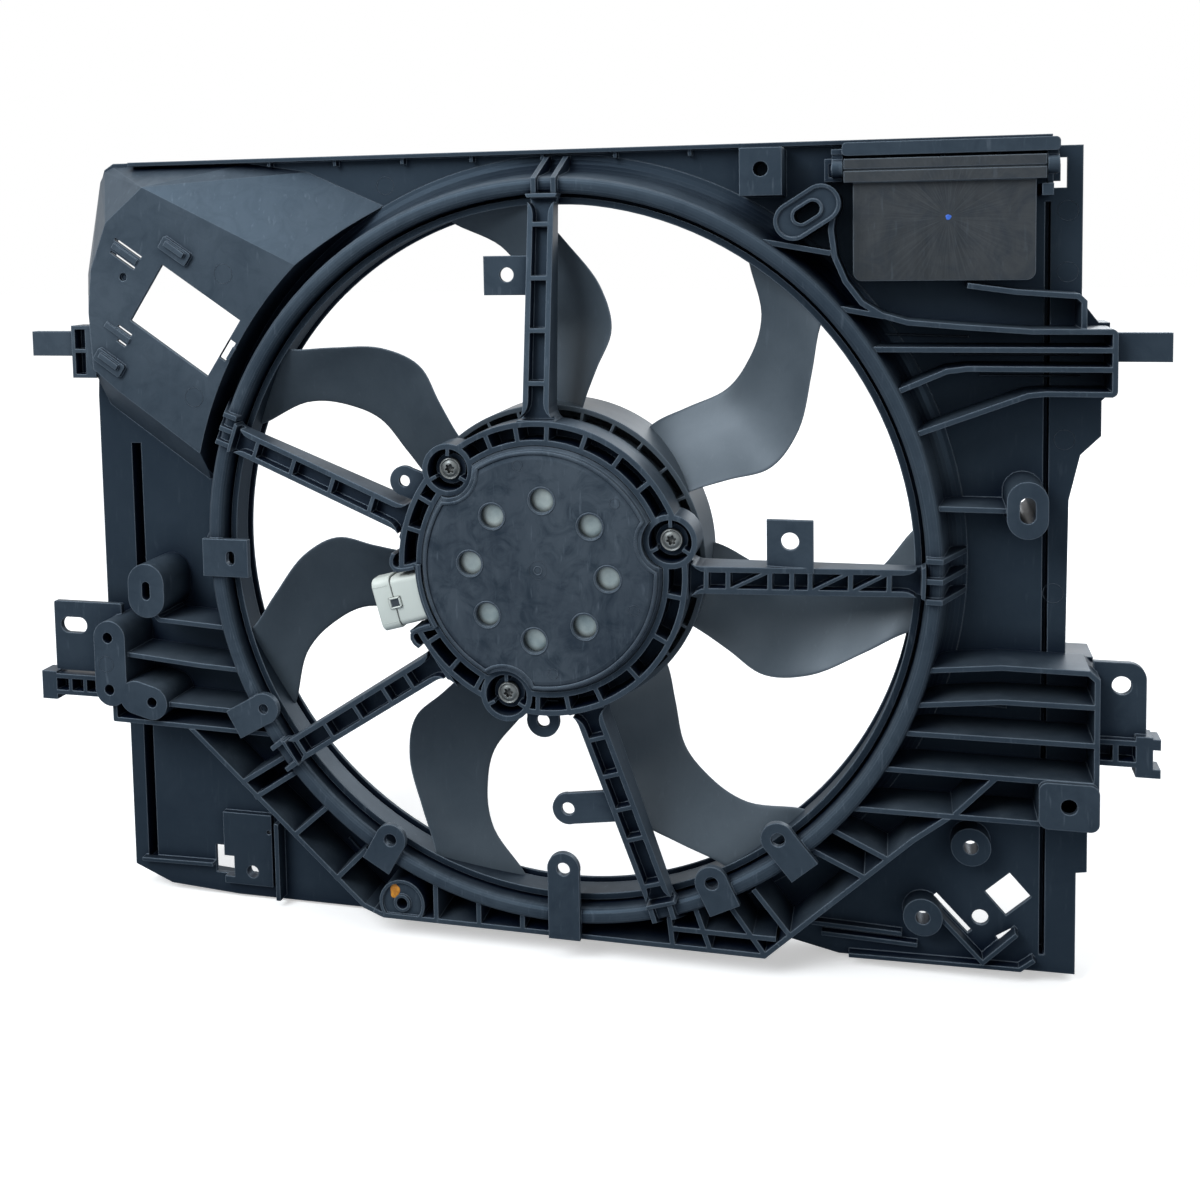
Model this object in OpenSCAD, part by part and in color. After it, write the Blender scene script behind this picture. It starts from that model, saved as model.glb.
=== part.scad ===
/* [Fan wheel] */
// Outer diameter of the band that joins the blade tips
fan_d = 428; // [420:1:436]
// Number of blades
blade_count = 7; // [5:1:8]
// Diameter of the hub
hub_d = 184; // [180:1:188]
// Depth of the hub from its nose to its open rim
hub_depth = 48; // [44:1:49]
// Wall of the hub
hub_wall = 3; // [2.5:0.25:3.5]
// Depth of the band
band_w = 17; // [14:1:20]
// Wall of the band
band_t = 2.5; // [2:0.25:3]
// Thickness of a blade at its middle
blade_t = 3; // [2.5:0.25:4]
// Fall of a blade from its rear edge to its front edge, at the hub
blade_fall_root = 30; // [24:1:32]
// Fall of a blade from its rear edge to its front edge, at the band
blade_fall_tip = 13; // [10:0.5:14]
// Angle by which the first blade is turned
blade_start = 34.5; // [0:0.5:51]
// Number of cooling vanes inside the hub rim
vane_count = 28; // [20:1:36]

/* [Fan ring] */
// Running gap between the band and the ring
ring_gap = 2; // [1.5:0.25:3]
// Width of the ring's front rim
rim_w = 10; // [8:0.5:12]
// Height of the ring above the panel
ring_rise = 33; // [30:1:36]
// Reach of the bell mouth from the rim to the panel
bell_reach = 14; // [12:1:15]
// Wall of the ring
ring_wall = 2.5; // [2:0.25:3]
// Distance from the rim down to the band
band_set = 9; // [8.5:0.5:12]

/* [Shroud panel] */
// Distance from the radiator to the panel's front face
shroud_depth = 25; // [23:1:28]
// Wall of the panel
panel_t = 2.5; // [2:0.25:3]
// Thickness of the stiffening ribs
rib_t = 3; // [2.5:0.25:3.5]
// Fan axis to the top edge
panel_top = 243; // [243:1:250]
// Fan axis to the bottom edge
panel_bottom = 247; // [246:1:252]
// Fan axis to the left edge
panel_left = 321; // [318:1:326]
// Fan axis to the right edge
panel_right = 301; // [299:1:304]
// Width of the trench that stiffens the left and right edges
trench_w = 7; // [6:0.5:9]
// Depth of that trench
trench_depth = 11; // [8:1:14]

/* [Motor carrier] */
// Height of the carrier's front above the ring's rim
carrier_rise = 27; // [24:1:28]
// Width of the channel between the carrier's two walls
channel_w = 14; // [13:0.5:16]
// Depth of the carrier's ring
carrier_depth = 21; // [18:0.5:21]
// Width of an arm
arm_w = 15.5; // [14:0.5:17]
// Wall of an arm and of the carrier's ring
arm_wall = 3.2; // [2.6:0.2:3.6]
// Depth of an arm at the motor
arm_depth = 20; // [16:1:21]
// Depth of an arm at the ring
arm_tip_depth = 10; // [8:0.5:11]
// Distance of the motor screws from the carrier's inner wall
screw_offset = 6.5; // [5.5:0.5:7]
// Angle of the first motor screw
screw_start = 14; // [10:1:18]

/* [Motor] */
// Outer radius of the motor can
can_r = 61; // [60:0.5:62]
// Wall of the can
can_wall = 2; // [1.6:0.2:2.4]
// Overhang of the rear cover beyond the can
cover_overhang = 10.6; // [9:0.2:11]
// Play between the cover and the carrier
cover_play = 0.4; // [0.3:0.1:1]
// Height of the cover above the carrier's front
cover_stand = 4; // [3:0.5:5]
// Number of round holes in the cover
cover_hole_count = 8; // [6:1:10]
// Diameter of those holes
cover_hole_d = 14; // [11:0.5:15]
// Radius of the circle of those holes
cover_hole_circle = 41; // [38:0.5:44]
// Diameter of the motor shaft
shaft_d = 8; // [7:0.5:9]
// Number of armature teeth
tooth_count = 12; // [10:1:14]
// Number of magnets
magnet_count = 4; // [2:2:6]

/* [Screws and connector] */
// Diameter of the screw head
screw_head_d = 11; // [9:0.5:12]
// Diameter of the screw shank
screw_d = 6; // [5:0.5:6.5]
// Width of the motor connector
plug_w = 32; // [28:1:34]
// Length of the motor connector
plug_len = 34; // [30:1:36]
// Angle at which the connector leaves the motor
plug_angle = 195; // [192:1:198]

/* [Air flap] */
// Width of the flap
flap_w = 98; // [94:1:98]
// Height of the flap below its hinge strip
flap_h = 57; // [52:1:58]
// Thickness of the flap
flap_t = 2.5; // [2:0.25:3]
// Diameter of the flap's hinge pins
flap_pin_d = 5; // [4:0.25:5.5]
// Height of the hinge axis above the fan axis
flap_axis_z = 226; // [225:0.5:227]
// Place of the flap's middle to the right of the fan axis
flap_x = 225; // [224:0.5:226]

/* [Radiator mounts] */
// Height of the two locating tongues above the fan axis
tongue_z = 126; // [125:0.5:127]
// Width of a tongue
tongue_w = 16; // [14:0.5:17]
// Thickness of a tongue
tongue_t = 6; // [5:0.5:8]
// Level of the lower bolt brackets below the fan axis
bolt_z = -63; // [-65:0.5:-62]
// Diameter of the right bolt hole
bolt_hole_d = 10.5; // [8:0.5:12]
// Length of the left bolt slot
bolt_slot_len = 19.5; // [13:0.5:21]
// Width of the left bolt slot
bolt_slot_w = 10.7; // [7:0.1:12]
// Thickness of the bolt brackets
bracket_t = 3.5; // [3:0.25:5]

/* [Clearances] */
// Play round a turning shaft or pin
run_gap = 0.05; // [0.02:0.01:0.08]
// Gap between seated pieces
seat_gap = 0.3; // [0.1:0.05:0.5]

/* [Hidden] */

$fn = 96;
tiny = 0.01;
overlap = 1;

// Levels, measured from the radiator towards the engine
panel_h = shroud_depth;
rim_h = panel_h + ring_rise;
carrier_h = rim_h + carrier_rise;
carrier_floor_h = carrier_h - carrier_depth;
cover_h = carrier_h + cover_stand;
box_h = rim_h - 3;
pad_h = rim_h;

// Radii of the fan and of the ring round it
band_r = fan_d / 2;
hub_r = hub_d / 2;
ring_in_r = band_r + ring_gap;
rim_r = ring_in_r + rim_w;
bell_r = rim_r + bell_reach;
bell_fillet = 11;
rim_round = 4;
rim_steps = 4;
band_h = rim_h - band_set;

// Hub and shaft
hub_nose_h = 8;
hub_rim_h = hub_nose_h + hub_depth;
shaft_r = shaft_d / 2;
hub_boss_r = shaft_r + 8;
hub_boss_depth = 14;
vane_ring_r = hub_r - 11;

// Motor and the carrier round it
cover_r = can_r + cover_overhang;
carrier_in_r = cover_r + cover_play;
carrier_r = carrier_in_r + channel_w;
screw_circle_r = carrier_in_r + screw_offset;
can_nose_h = hub_nose_h + 17;
lug_t = 4;
lug_h = carrier_floor_h - lug_t;
lug_r = 8;
can_rear_h = carrier_h - 5;
end_plate_t = 2.5;
cover_t = 4;
cover_skirt_t = 2;
cover_skirt_h = can_rear_h - 4;
end_plate_h = cover_h - cover_t - end_plate_t - seat_gap;
bearing_r = shaft_r + 7;
bearing_w = 7;
magnet_t = 6;
magnet_in_r = can_r - can_wall - magnet_t;
air_gap = 1.2;
core_r = magnet_in_r - air_gap;
core_h = can_nose_h + 12;
core_len = 26;
commutator_r = 14;
brush_card_h = core_h + core_len + 11;
brush_card_t = 2.5;

screw_angles = [for (i = [0:2]) screw_start + 120 * i];
boss_r = 9.2;
lobe_r = 15.5;

// Places of the bent and straight edges, as [across, up] from the fan axis
left_in_x = -panel_left + 23;
right_in_x = panel_right - 17;
right_box_x = 316;
lower_box_x = 309;
truss_z = -panel_bottom + 13;
left_knee = [-245, -122];
right_sill_z = -140;
left_sill = [[-185, -122.5], [-300, -120]];

function unit(v) = v / norm(v);
function left_of(v) = [-v[1], v[0]];
function turn(a) = [cos(a), sin(a)];
function mitre(a, b, c) =
    let (n1 = left_of(unit(b - a)), n2 = left_of(unit(c - b)))
    (n1 + n2) / (1 + n1 * n2);
function rail(p, d) = [for (i = [0:len(p) - 1])
    i == 0 ? p[0] + d * left_of(unit(p[1] - p[0]))
    : i == len(p) - 1 ? p[i] + d * left_of(unit(p[i] - p[i - 1]))
    : p[i] + d * mitre(p[i - 1], p[i], p[i + 1])];
function back(p) = [for (i = [len(p) - 1:-1:0]) p[i]];
function stroke(p, w) = concat(rail(p, w / 2), back(rail(p, -w / 2)));
function inset(p, d) = let (n = len(p)) [for (i = [0:n - 1])
    p[i] + d * mitre(p[(i + n - 1) % n], p[i], p[(i + 1) % n])];
function arc(c, r, a0, a1, n = 8) = [for (i = [0:n]) c + r * turn(a0 + (a1 - a0) * i / n)];

// Everything is drawn lying down, its height towards the engine, then stood up
module upright() { rotate([90, 0, 0]) children(); }
module slab(h0, h1) { translate([0, 0, h0]) linear_extrude(h1 - h0) children(); }
module rib(points, h0, h1, w = rib_t) { slab(h0, h1) polygon(stroke(points, w)); }
module rod(p, r, h0, h1) { translate([p[0], p[1], h0]) cylinder(r = r, h = h1 - h0); }
module box2(a, b) { translate(a) square(b - a); }

// A flat shape with round ends
module oval(p, half, r, angle = 0) {
    translate(p) rotate(angle) {
        translate([-half, -r]) square([2 * half, 2 * r]);
        for (s = [-1, 1]) translate([s * half, 0]) circle(r);
    }
}

// A rectangle with round corners
module plate2(a, b, r) {
    translate([a[0] + r, a[1]]) square([b[0] - a[0] - 2 * r, b[1] - a[1]]);
    translate([a[0], a[1] + r]) square([b[0] - a[0], b[1] - a[1] - 2 * r]);
    for (x = [a[0] + r, b[0] - r], y = [a[1] + r, b[1] - r]) translate([x, y]) circle(r);
}

// Outer line of the ring, from its rim down the bell mouth to the panel
function rim_corner(x, side) = [for (i = [0:rim_steps]) let (a = 90 * i / rim_steps)
    [x - side * rim_round * (1 - sin(a)), rim_h - rim_round * (1 - cos(a))]];
function ring_side() = concat(rim_corner(rim_r, 1),
    [[rim_r + bell_reach - bell_fillet, panel_h + bell_fillet]],
    [for (i = [1:6]) [bell_r - bell_fillet + bell_fillet * (1 - cos(15 * i)),
                      panel_h + bell_fillet * (1 - sin(15 * i))]]);

// The room that the ring takes, cut out of whatever meets it
module ring_room() {
    rotate_extrude() polygon(concat([[0, rim_h + 40], [rim_r - rim_round, rim_h + 40]],
        ring_side(), [[bell_r, panel_h - panel_t], [rim_r + 2, panel_h - panel_t], [rim_r + 2, -overlap],
        [0, -overlap]]));
}

module outside_ring() { difference() { children(); ring_room(); } }

function panel_outline() = [
    [-303, panel_top], [right_in_x, panel_top], [right_in_x, 237], [panel_right, 237],
    [panel_right, 150], [right_box_x - 6, 138], [right_box_x, 138], [right_box_x, 98], [312, 94], [312, 74],
    [panel_right, 63], [295, 37], [294, -53], [lower_box_x, -53], [lower_box_x, -142], [294, -147],
    [294, -150], [307, -155], [307, -180], [panel_right, -181],
    [panel_right, -panel_bottom + 5], [166, -panel_bottom + 3], [126, truss_z - 1.5],
    [-82, truss_z - 1.5], [-100, -panel_bottom], [-231, -panel_bottom],
    [-281, -panel_bottom + 3], [-308, -panel_bottom + 14], [-308, -135],
    [-panel_left, -110], [-panel_left, 90], [-312, 232], [-309.5, 239]];

function pocket_foot() = [[-325, 171], [-324, 107], [-312, 84], [-241, 35], [-180, 60],
    [-110, 190], [-115, 212], [-165, 234], [-206, 240.4], [-303, 240.4], [-309.5, 237.5], [-313, 231]];
function pocket_top() = [[-306, 174], [-309, 146], [-307, 110], [-290, 96], [-230, 54],
    [-190, 80], [-140, 150], [-160, 174], [-267, 226], [-294, 204]];

// Slots that stiffen the long edges, open to the engine
module trench(a, b) {
    difference() {
        slab(panel_h - trench_depth - panel_t, panel_h) box2(a - [panel_t, panel_t], b + [panel_t, panel_t]);
        slab(panel_h - trench_depth, panel_h + overlap) box2(a, b);
    }
}

left_trench = [[left_in_x, -228], [left_in_x + trench_w, 58]];
right_trench = [[right_in_x - 3, -232], [right_in_x, 206]];
trenches = [left_trench, right_trench];

// Window that the flap closes
window_in = [flap_x - flap_w / 2 + 7, flap_axis_z - 6 - flap_h + 7];
window_out = [flap_x + flap_w / 2 - 7, flap_axis_z - 12];

oval_boss_right = [270, 37];
oval_boss_slant = [151, 202];
block_low = [113, 212];
block_high = [137, 239];
corner_bosses = [[242, -166], [215, -211]];
corner_boss_r = 11.3;
diamond = [263.5, -197.5];
corner_plate = [[-239, -238], [-204, -189]];

module panel_solids() {
    slab(panel_h - panel_t, panel_h) polygon(back(panel_outline()));
    difference() {
        slab(0, panel_h - panel_t) polygon(back(panel_outline()));
        slab(-overlap, panel_h) polygon(inset(back(panel_outline()), rib_t));
    }
    for (t = trenches) trench(t[0], t[1]);
    slab(panel_h, panel_h + 7) box2([-288, panel_top - 2.5], [right_in_x, panel_top]);
    for (x = [-190:45:150]) slab(panel_h, panel_h + 5) box2([x, panel_top - 6], [x + 2, panel_top - 2]);
    slab(panel_h, box_h) box2(block_low, block_high);
    slab(panel_h, pad_h) oval(oval_boss_slant, 9, 11, 32);
    slab(0, pad_h) oval(oval_boss_right, 5, 11, 90);
    rib([[215, 36], [262, 36]], panel_h, box_h);
    for (p = corner_bosses) rod(p, corner_boss_r, panel_h, panel_h + 11);
    rib([[219, -205], [249, -236], [268, -217]], panel_h, panel_h + 9, 2.5);
    rib([[150, -224], [203, -225.5]], panel_h, panel_h + 5, 2.5);
    rib([[156, -230], [212, -231.5]], panel_h, panel_h + 5, 2.5);
    rib([[172, -241.5], [270, -239.5], [278, -233]], panel_h, panel_h + 6, 2.5);
    slab(panel_h, panel_h + 4) box2(corner_plate[0], corner_plate[1]);
    rib([[-198, -192], [-198, -panel_bottom + 3]], panel_h, panel_h + 9);
    rib([[-300, -227], [-246, -226]], panel_h, panel_h + 5, 2.5);
}

module panel_cuts() {
    for (t = trenches) slab(panel_h - trench_depth, panel_h + overlap) box2(t[0], t[1]);
    slab(-overlap, panel_h + 30) polygon(pocket_foot());
    slab(-overlap, panel_h + overlap) box2(window_in, window_out);
    rod([125, 227], 4.2, panel_h + 8, box_h + overlap);
    slab(panel_h + 8, pad_h + overlap) oval(oval_boss_slant, 3.8, 4, 32);
    slab(pad_h - 1.5, pad_h + overlap) difference() {
        oval(oval_boss_slant, 9, 9, 32);
        oval(oval_boss_slant, 3.8, 5.6, 32);
    }
    slab(-overlap, pad_h + overlap) oval(oval_boss_right, 3, 4.2, 90);
    for (p = corner_bosses) rod(p, 4.1, -overlap, panel_h + 12);
    rod([248, -213], 4.7, -overlap, panel_h + overlap);
    slab(-overlap, panel_h + overlap) {
        translate(diamond) rotate(-48) square([18.2, 19], center = true);
        translate([232, -212]) rotate(-46) square([29, 3.2], center = true);
        translate([263, -221.5]) rotate(33) square([13, 3.4], center = true);
        box2([283, 213.5], [292.5, 217.2]);
        box2([289, 217.1], [292.5, 230.3]);
        box2([283, 226.8], [292.5, 230.3]);
    }
    slab(-overlap, panel_h + 5) {
        box2([-247.4, -233.2], [-231.9, -219]);
        box2([-247.4, -219.1], [-239.6, -214]);
    }
    rod([-218.6, -228.6], 4.2, -overlap, panel_h + 5);
    rod([-206, -200.5], 1.5, -overlap, panel_h + 5);
}

module shroud_panel() {
    color("#24292e") upright() outside_ring() difference() {
        panel_solids();
        panel_cuts();
    }
}

// Raised pocket in which the fan controller would be clipped
pocket_h = 50;
pocket_wall = 2.5;
pocket_tilt = -34;
pocket_window = [64, 43];
pocket_centre = [-238.5, 141.5];

module pocket_form(shrink, drop) {
    hull() {
        slab(panel_h - panel_t, panel_h) polygon(inset(pocket_foot(), shrink));
        slab(pocket_h - drop - tiny, pocket_h - drop) polygon(inset(pocket_top(), shrink));
    }
}

module pocket_shell() {
    difference() {
        union() {
            pocket_form(0, 0);
            difference() {
                slab(tongue_h - 7, tongue_h + 6) box2([-323, tongue_z - 22], [-306, tongue_z + 12]);
                slab(tongue_h - 1, tongue_h + 7) {
                    box2([-320.6, tongue_z - 19.6], [-313, tongue_z - 5.6]);
                    box2([-320.6, tongue_z - 3.2], [-313, tongue_z + 9.6]);
                }
            }
        }
        pocket_form(pocket_wall, pocket_wall);
        rod([0, 0], bell_r, -overlap, pocket_h + overlap);
    }
    intersection() {
        pocket_form(0, 0);
        difference() {
            rod([0, 0], bell_r + pocket_wall, panel_h - panel_t, pocket_h);
            rod([0, 0], bell_r, -overlap, pocket_h + overlap);
        }
    }
}

module on_pocket(x, y) { translate(pocket_centre) rotate(pocket_tilt) translate([x, y]) children(); }

module controller_pocket() {
    color("#33393f") upright() {
        difference() {
            pocket_shell();
            slab(panel_h, pocket_h + overlap) {
                on_pocket(-1.7, -1.2) square(pocket_window, center = true);
                on_pocket(-59, 15.8) square([22, 1.8], center = true);
                on_pocket(-58.4, 7.3) square([20, 1.8], center = true);
                on_pocket(-33.6, -30.6) square([11.5, 1.8], center = true);
                on_pocket(-31.3, -38.6) square([7, 1.8], center = true);
                on_pocket(33, -0.5) square([5, 14], center = true);
            }
            rod([-282.9, 169.3], 2.6, pocket_h - 2, pocket_h + overlap);
        }
        for (p = [[-29.7, 33], [-31.2, -53.7]]) {
            slab(pocket_h - tiny, pocket_h + 2.5) on_pocket(p[0], p[1]) plate2([-11, -4.5], [11, 4.5], 1.5);
            slab(pocket_h, pocket_h + 4.5) on_pocket(p[0], p[1] + 1.2) square([15, 3.4], center = true);
        }
        for (p = [[-59, 11.6], [-37, -34.5]])
            slab(pocket_h - tiny, pocket_h + 1) on_pocket(p[0], p[1]) square([20, 3.6], center = true);
        slab(pocket_h - tiny, pocket_h + 1.6) on_pocket(36.8, -0.5) square([2.4, 9], center = true);
        difference() {
            slab(0, panel_h - panel_t) polygon(pocket_foot());
            slab(-overlap, panel_h) polygon(inset(pocket_foot(), rib_t));
            rod([0, 0], bell_r, -overlap, panel_h);
        }
        slab(tongue_h - tongue_t / 2, tongue_h + tongue_t / 2)
            box2([-tongue_reach_left, tongue_z - tongue_w / 2], [-322, tongue_z + tongue_w / 2]);
    }
}

tongue_h = 43;
tongue_reach_left = 354;
tongue_reach_right = 345;

// The ring is an upside-down channel with a bell mouth down to the panel
tunnel_h = panel_h - 8;
module ring_profile() {
    polygon(concat(ring_side(), [
        [bell_r, panel_h - panel_t], [rim_r + 2, panel_h - panel_t],
        [rim_r - ring_wall, panel_h + 5], [rim_r - ring_wall, rim_h - ring_wall],
        [ring_in_r + ring_wall, rim_h - ring_wall], [ring_in_r + ring_wall, tunnel_h],
        [ring_in_r, tunnel_h]], back(rim_corner(ring_in_r, -1))));
}

// Fin that runs from an arm's end over the rim and down to the panel
arm_end_h = rim_h + 4;
module fin(angle, t, top = arm_end_h) {
    rotate(angle) translate([0, t + rib_t / 2, 0]) rotate([90, 0, 0]) linear_extrude(rib_t)
        polygon([[ring_in_r + tiny, rim_h - rim_round - 1], [ring_in_r + tiny, top], [rim_r - 1, top],
                 [bell_r - 1, panel_h + 5], [bell_r - 1, panel_h + tiny], [rim_r - 1, panel_h + 8]]);
}

// Harness tab on the rim, round at its hole and tied to the rim outwards
tab_t = 2.5;
tab_r = 10;
module tab(p, reach, angle, hole_r) {
    difference() {
        slab(rim_h - 1, rim_h + tab_t) {
            translate(p) circle(tab_r);
            translate(p) rotate(angle) translate([0, 0.2 - tab_r]) square([reach, 2 * tab_r - 0.4]);
        }
        rod(p, hole_r, rim_h - 2, rim_h + tab_t + overlap);
    }
}

module fan_ring() {
    color("#2a3036") upright() {
        difference() {
            rotate_extrude() ring_profile();
            slab(0, rim_h - 3) box2([-rim_r, -bell_r - overlap], [rim_r, truss_z - rib_t / 2]);
        }
        for (t = [-6, 6]) fin(90, t);
        for (t = [-11.5, 0, 11.5]) fin(-1, t);
        for (t = [-9, 0, 9]) fin(160.5, t);
        for (t = [-6, 6]) fin(-73, t);
        for (t = [-8, 8]) fin(217, t);
        for (t = [-10, 10]) fin(182, t, rim_h + tab_t);
        difference() {
            slab(rim_h - 1, rim_h + tab_t) box2([-228, -20], [-197, 4]);
            slab(rim_h - 2, rim_h + tab_t + overlap) oval([-209, -8], 1.4, 3, 90);
        }
        slab(box_h, rim_h) box2([11.4, truss_z + 1.5], [13.8, -218]);
        tab([-190, -104], 24, 209, 3.2);
        tab([-107, -182], 20, 240, 4);
        tab([4, -190], 44, -90, 4.1);
        tab([94, -190], 18, -64, 4);
        tab([133, -160], 24, -50, 4.1);
    }
}

// Arms: direction, side shift from the axis, and the radii of their cross ribs
arms = [
    [90, 1.2, [107, 137, 167, 198]],
    [160.5, 3.2, [110, 139, 168, 196]],
    [213.5, 14.4, [110, 129, 154, 180, 205]],
    [-73, 1, [104, 128, 150, 170, 201]],
    [-1, -1, [96, 108, 131, 143, 153, 175, 196]]];
braced_arm = 4;
flare = 10;

function flank(side, half, x0, x1) = concat(
    [for (i = [0:5]) [x0 + flare * (1 - cos(18 * i)), side * (half + flare * (1 - sin(18 * i)))]],
    [for (i = [5:-1:0]) [x1 - flare * (1 - cos(18 * i)), side * (half + flare * (1 - sin(18 * i)))]]);

module arm_plan(shrink) {
    half = arm_w / 2 - shrink;
    x0 = carrier_r - 3 + shrink;
    x1 = ring_in_r + 4 - 2 * shrink;
    polygon(concat(flank(-1, half, x0, x1), back(flank(1, half, x0, x1))));
}

// Side view of an arm, sloping from the carrier down to the rim
module arm_slope(top, root_low, tip_low) {
    rotate([90, 0, 0]) linear_extrude(2 * carrier_r, center = true)
        polygon([[carrier_r - 5, carrier_h - top], [ring_in_r + 5, arm_end_h - top],
                 [ring_in_r + 5, arm_end_h - tip_low], [carrier_r - 5, carrier_h - root_low]]);
}

module arm(angle, shift, ribs, braced) {
    rotate(angle) translate([0, shift, 0]) {
        intersection() {
            arm_slope(0, arm_depth, arm_tip_depth);
            slab(rim_h - 20, carrier_h + overlap) {
                difference() {
                    arm_plan(0);
                    arm_plan(arm_wall);
                }
                for (r = ribs) translate([r - 1.3, -arm_w / 2 + 1]) square([2.6, arm_w - 2]);
                if (braced) for (i = [1, 4, 5])
                    polygon(stroke([[ribs[i], -arm_w / 2 + 2], [ribs[i + 1], arm_w / 2 - 2]], 2));
            }
        }
        intersection() {
            arm_slope(arm_tip_depth - 2.5, arm_depth, arm_tip_depth);
            slab(rim_h - 20, carrier_h + overlap) arm_plan(0);
        }
    }
}

// Motor ring: a channel between two walls, bulged round the three screws
carrier_ribs = [112, 99, 86, 70, 54, 39, -9, -28, -47, -65, -79, -92, -119, -132, -146, 165, 151];
plug_room = plug_w + 4;
floor_t = 2.5;

module at_screws() { for (a = screw_angles) rotate(a) translate([screw_circle_r, 0, 0]) children(); }

module carrier_outline(extra = 0) {
    circle(carrier_r + extra);
    at_screws() circle(lobe_r + extra);
}

// The middle that stays free for the cover, less the rounds of the screws
module carrier_middle() {
    difference() {
        circle(carrier_in_r);
        at_screws() circle(lobe_r);
    }
}

module carrier_walls() {
    difference() {
        carrier_outline();
        circle(carrier_r - arm_wall);
        at_screws() circle(lobe_r - arm_wall);
    }
    difference() {
        circle(carrier_in_r + arm_wall);
        circle(carrier_in_r);
        at_screws() circle(lobe_r - arm_wall);
    }
    at_screws() difference() {
        circle(lobe_r);
        circle(lobe_r - arm_wall);
    }
    for (a = carrier_ribs) rotate(a) translate([carrier_in_r + 1, -1.3])
        square([carrier_r - carrier_in_r - 2, 2.6]);
    at_screws() for (a = [75, 195, 315]) rotate(a) translate([boss_r - 1, -1])
        square([lobe_r - boss_r - 0.5, 2]);
}

boss_h = carrier_h - 7;
sleeve_r = 5;
sleeve_bore_r = screw_d / 2 + 0.3;

module carrier_tab(p, angle, reach, h, hole_r, r) {
    difference() {
        slab(h - 2.5, h) {
            translate(p) circle(r);
            translate(p) rotate(angle) translate([0, 0.2 - r]) square([reach, 2 * r - 0.4]);
        }
        rod(p, hole_r, h - 3, h + overlap);
    }
}

module plug_gate(extra) {
    rotate(plug_angle) translate([can_r + 4.5, -plug_room / 2 - extra])
        square([carrier_r - can_r + 16, plug_room + 2 * extra]);
}

gate_lip = 4;

module motor_carrier() {
    color("#2a3036") upright() difference() {
        union() {
            difference() {
                slab(carrier_floor_h, carrier_h) carrier_walls();
                slab(carrier_floor_h + floor_t, carrier_h + overlap) plug_gate(0);
            }
            slab(carrier_floor_h, carrier_h) intersection() {
                difference() { plug_gate(2.5); plug_gate(0); }
                difference() { circle(carrier_r + gate_lip); circle(carrier_in_r); }
            }
            slab(carrier_floor_h, carrier_floor_h + floor_t) difference() {
                carrier_outline();
                carrier_middle();
            }
            at_screws() rod([0, 0], boss_r, carrier_floor_h + 1, boss_h);
            carrier_tab((carrier_r + 10.8) * turn(150.3), -20, 13, carrier_floor_h + 14, 3.4, 9);
            carrier_tab((carrier_r + 9.1) * turn(-92.4), 90, 13, carrier_floor_h + 6, 3.9, 10);
        }
        at_screws() rod([0, 0], sleeve_r + run_gap, carrier_floor_h - overlap, boss_h + overlap);
    }
}

// The five arms, cut to the carrier at one end and to the ring at the other
arm_tab_h = [66, 73.5];
joint_gap = 0.05;
module carrier_arms() {
    color("#2a3036") upright() difference() {
        union() {
            for (i = [0:len(arms) - 1]) arm(arms[i][0], arms[i][1], arms[i][2], i == braced_arm);
            difference() {
                slab(arm_tab_h[0] - tab_t, arm_tab_h[0]) box2([-36, 157], [-7, 180]);
                rod([-22, 169], 4.3, arm_tab_h[0] - 3, arm_tab_h[0] + overlap);
            }
            difference() {
                slab(arm_tab_h[1] - tab_t, arm_tab_h[1]) box2([129, 1], [155, 31]);
                rod([142, 19], 5, arm_tab_h[1] - 3, arm_tab_h[1] + overlap);
            }
            carrier_tab([10, -148], 8, 28, carrier_floor_h + 5, 3.9, 9.5);
        }
        slab(0, carrier_h + overlap) carrier_outline(joint_gap);
        difference() {
            rod([0, 0], ring_in_r + 60, 0, carrier_h + 20);
            rod([0, 0], ring_in_r, -overlap, carrier_h + 21);
        }
    }
}

// Curved wall under the flap, which runs on as the top of the box
flap_wall = [[162, 215], [165, 213], [166, 208], [164, 192], [166, 177], [172, 163], [181, 151], [192,
    144], [206, 140],
             [235, 137.5], [272, 135], [right_box_x - 2.5, 135]];

module upper_right_box() {
    color("#2a3036") upright() {
        outside_ring() slab(panel_h, box_h) {
            difference() {
                polygon(stroke(flap_wall, rib_t));
                oval(oval_boss_slant, 9, 11, 32);
            }
            polygon(stroke([[150, 125], [right_box_x - 1, 125]], rib_t));
            polygon(stroke([[185, 94.5], [202, 102], [227, 113], [238, 114.5], [right_box_x - 1, 114.5]],
                rib_t));
            polygon(stroke([[196, 72], [270, 100], [279, 101], [right_box_x - 2.5, 101]], rib_t));
            polygon(stroke([[126, 186], [164, 179]], rib_t));
            polygon(stroke([[160, 149.5], [193, 143.5]], rib_t));
            intersection() {
                box2([right_box_x - 3, 99.5], [right_box_x, 136.5]);
                plate2([right_box_x - 20, 99.5], [right_box_x, 136.5], 3.5);
            }
        }
        rib([[238, 160.2], [246, 159], [264, 156.5], [296, 154], [299, 151], [299, 136]], panel_h, box_h - 4);
        slab(tongue_h - tongue_t / 2, tongue_h + tongue_t / 2)
            box2([right_box_x, tongue_z - tongue_w / 2], [tongue_reach_right, tongue_z + tongue_w / 2]);
    }
}

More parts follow.
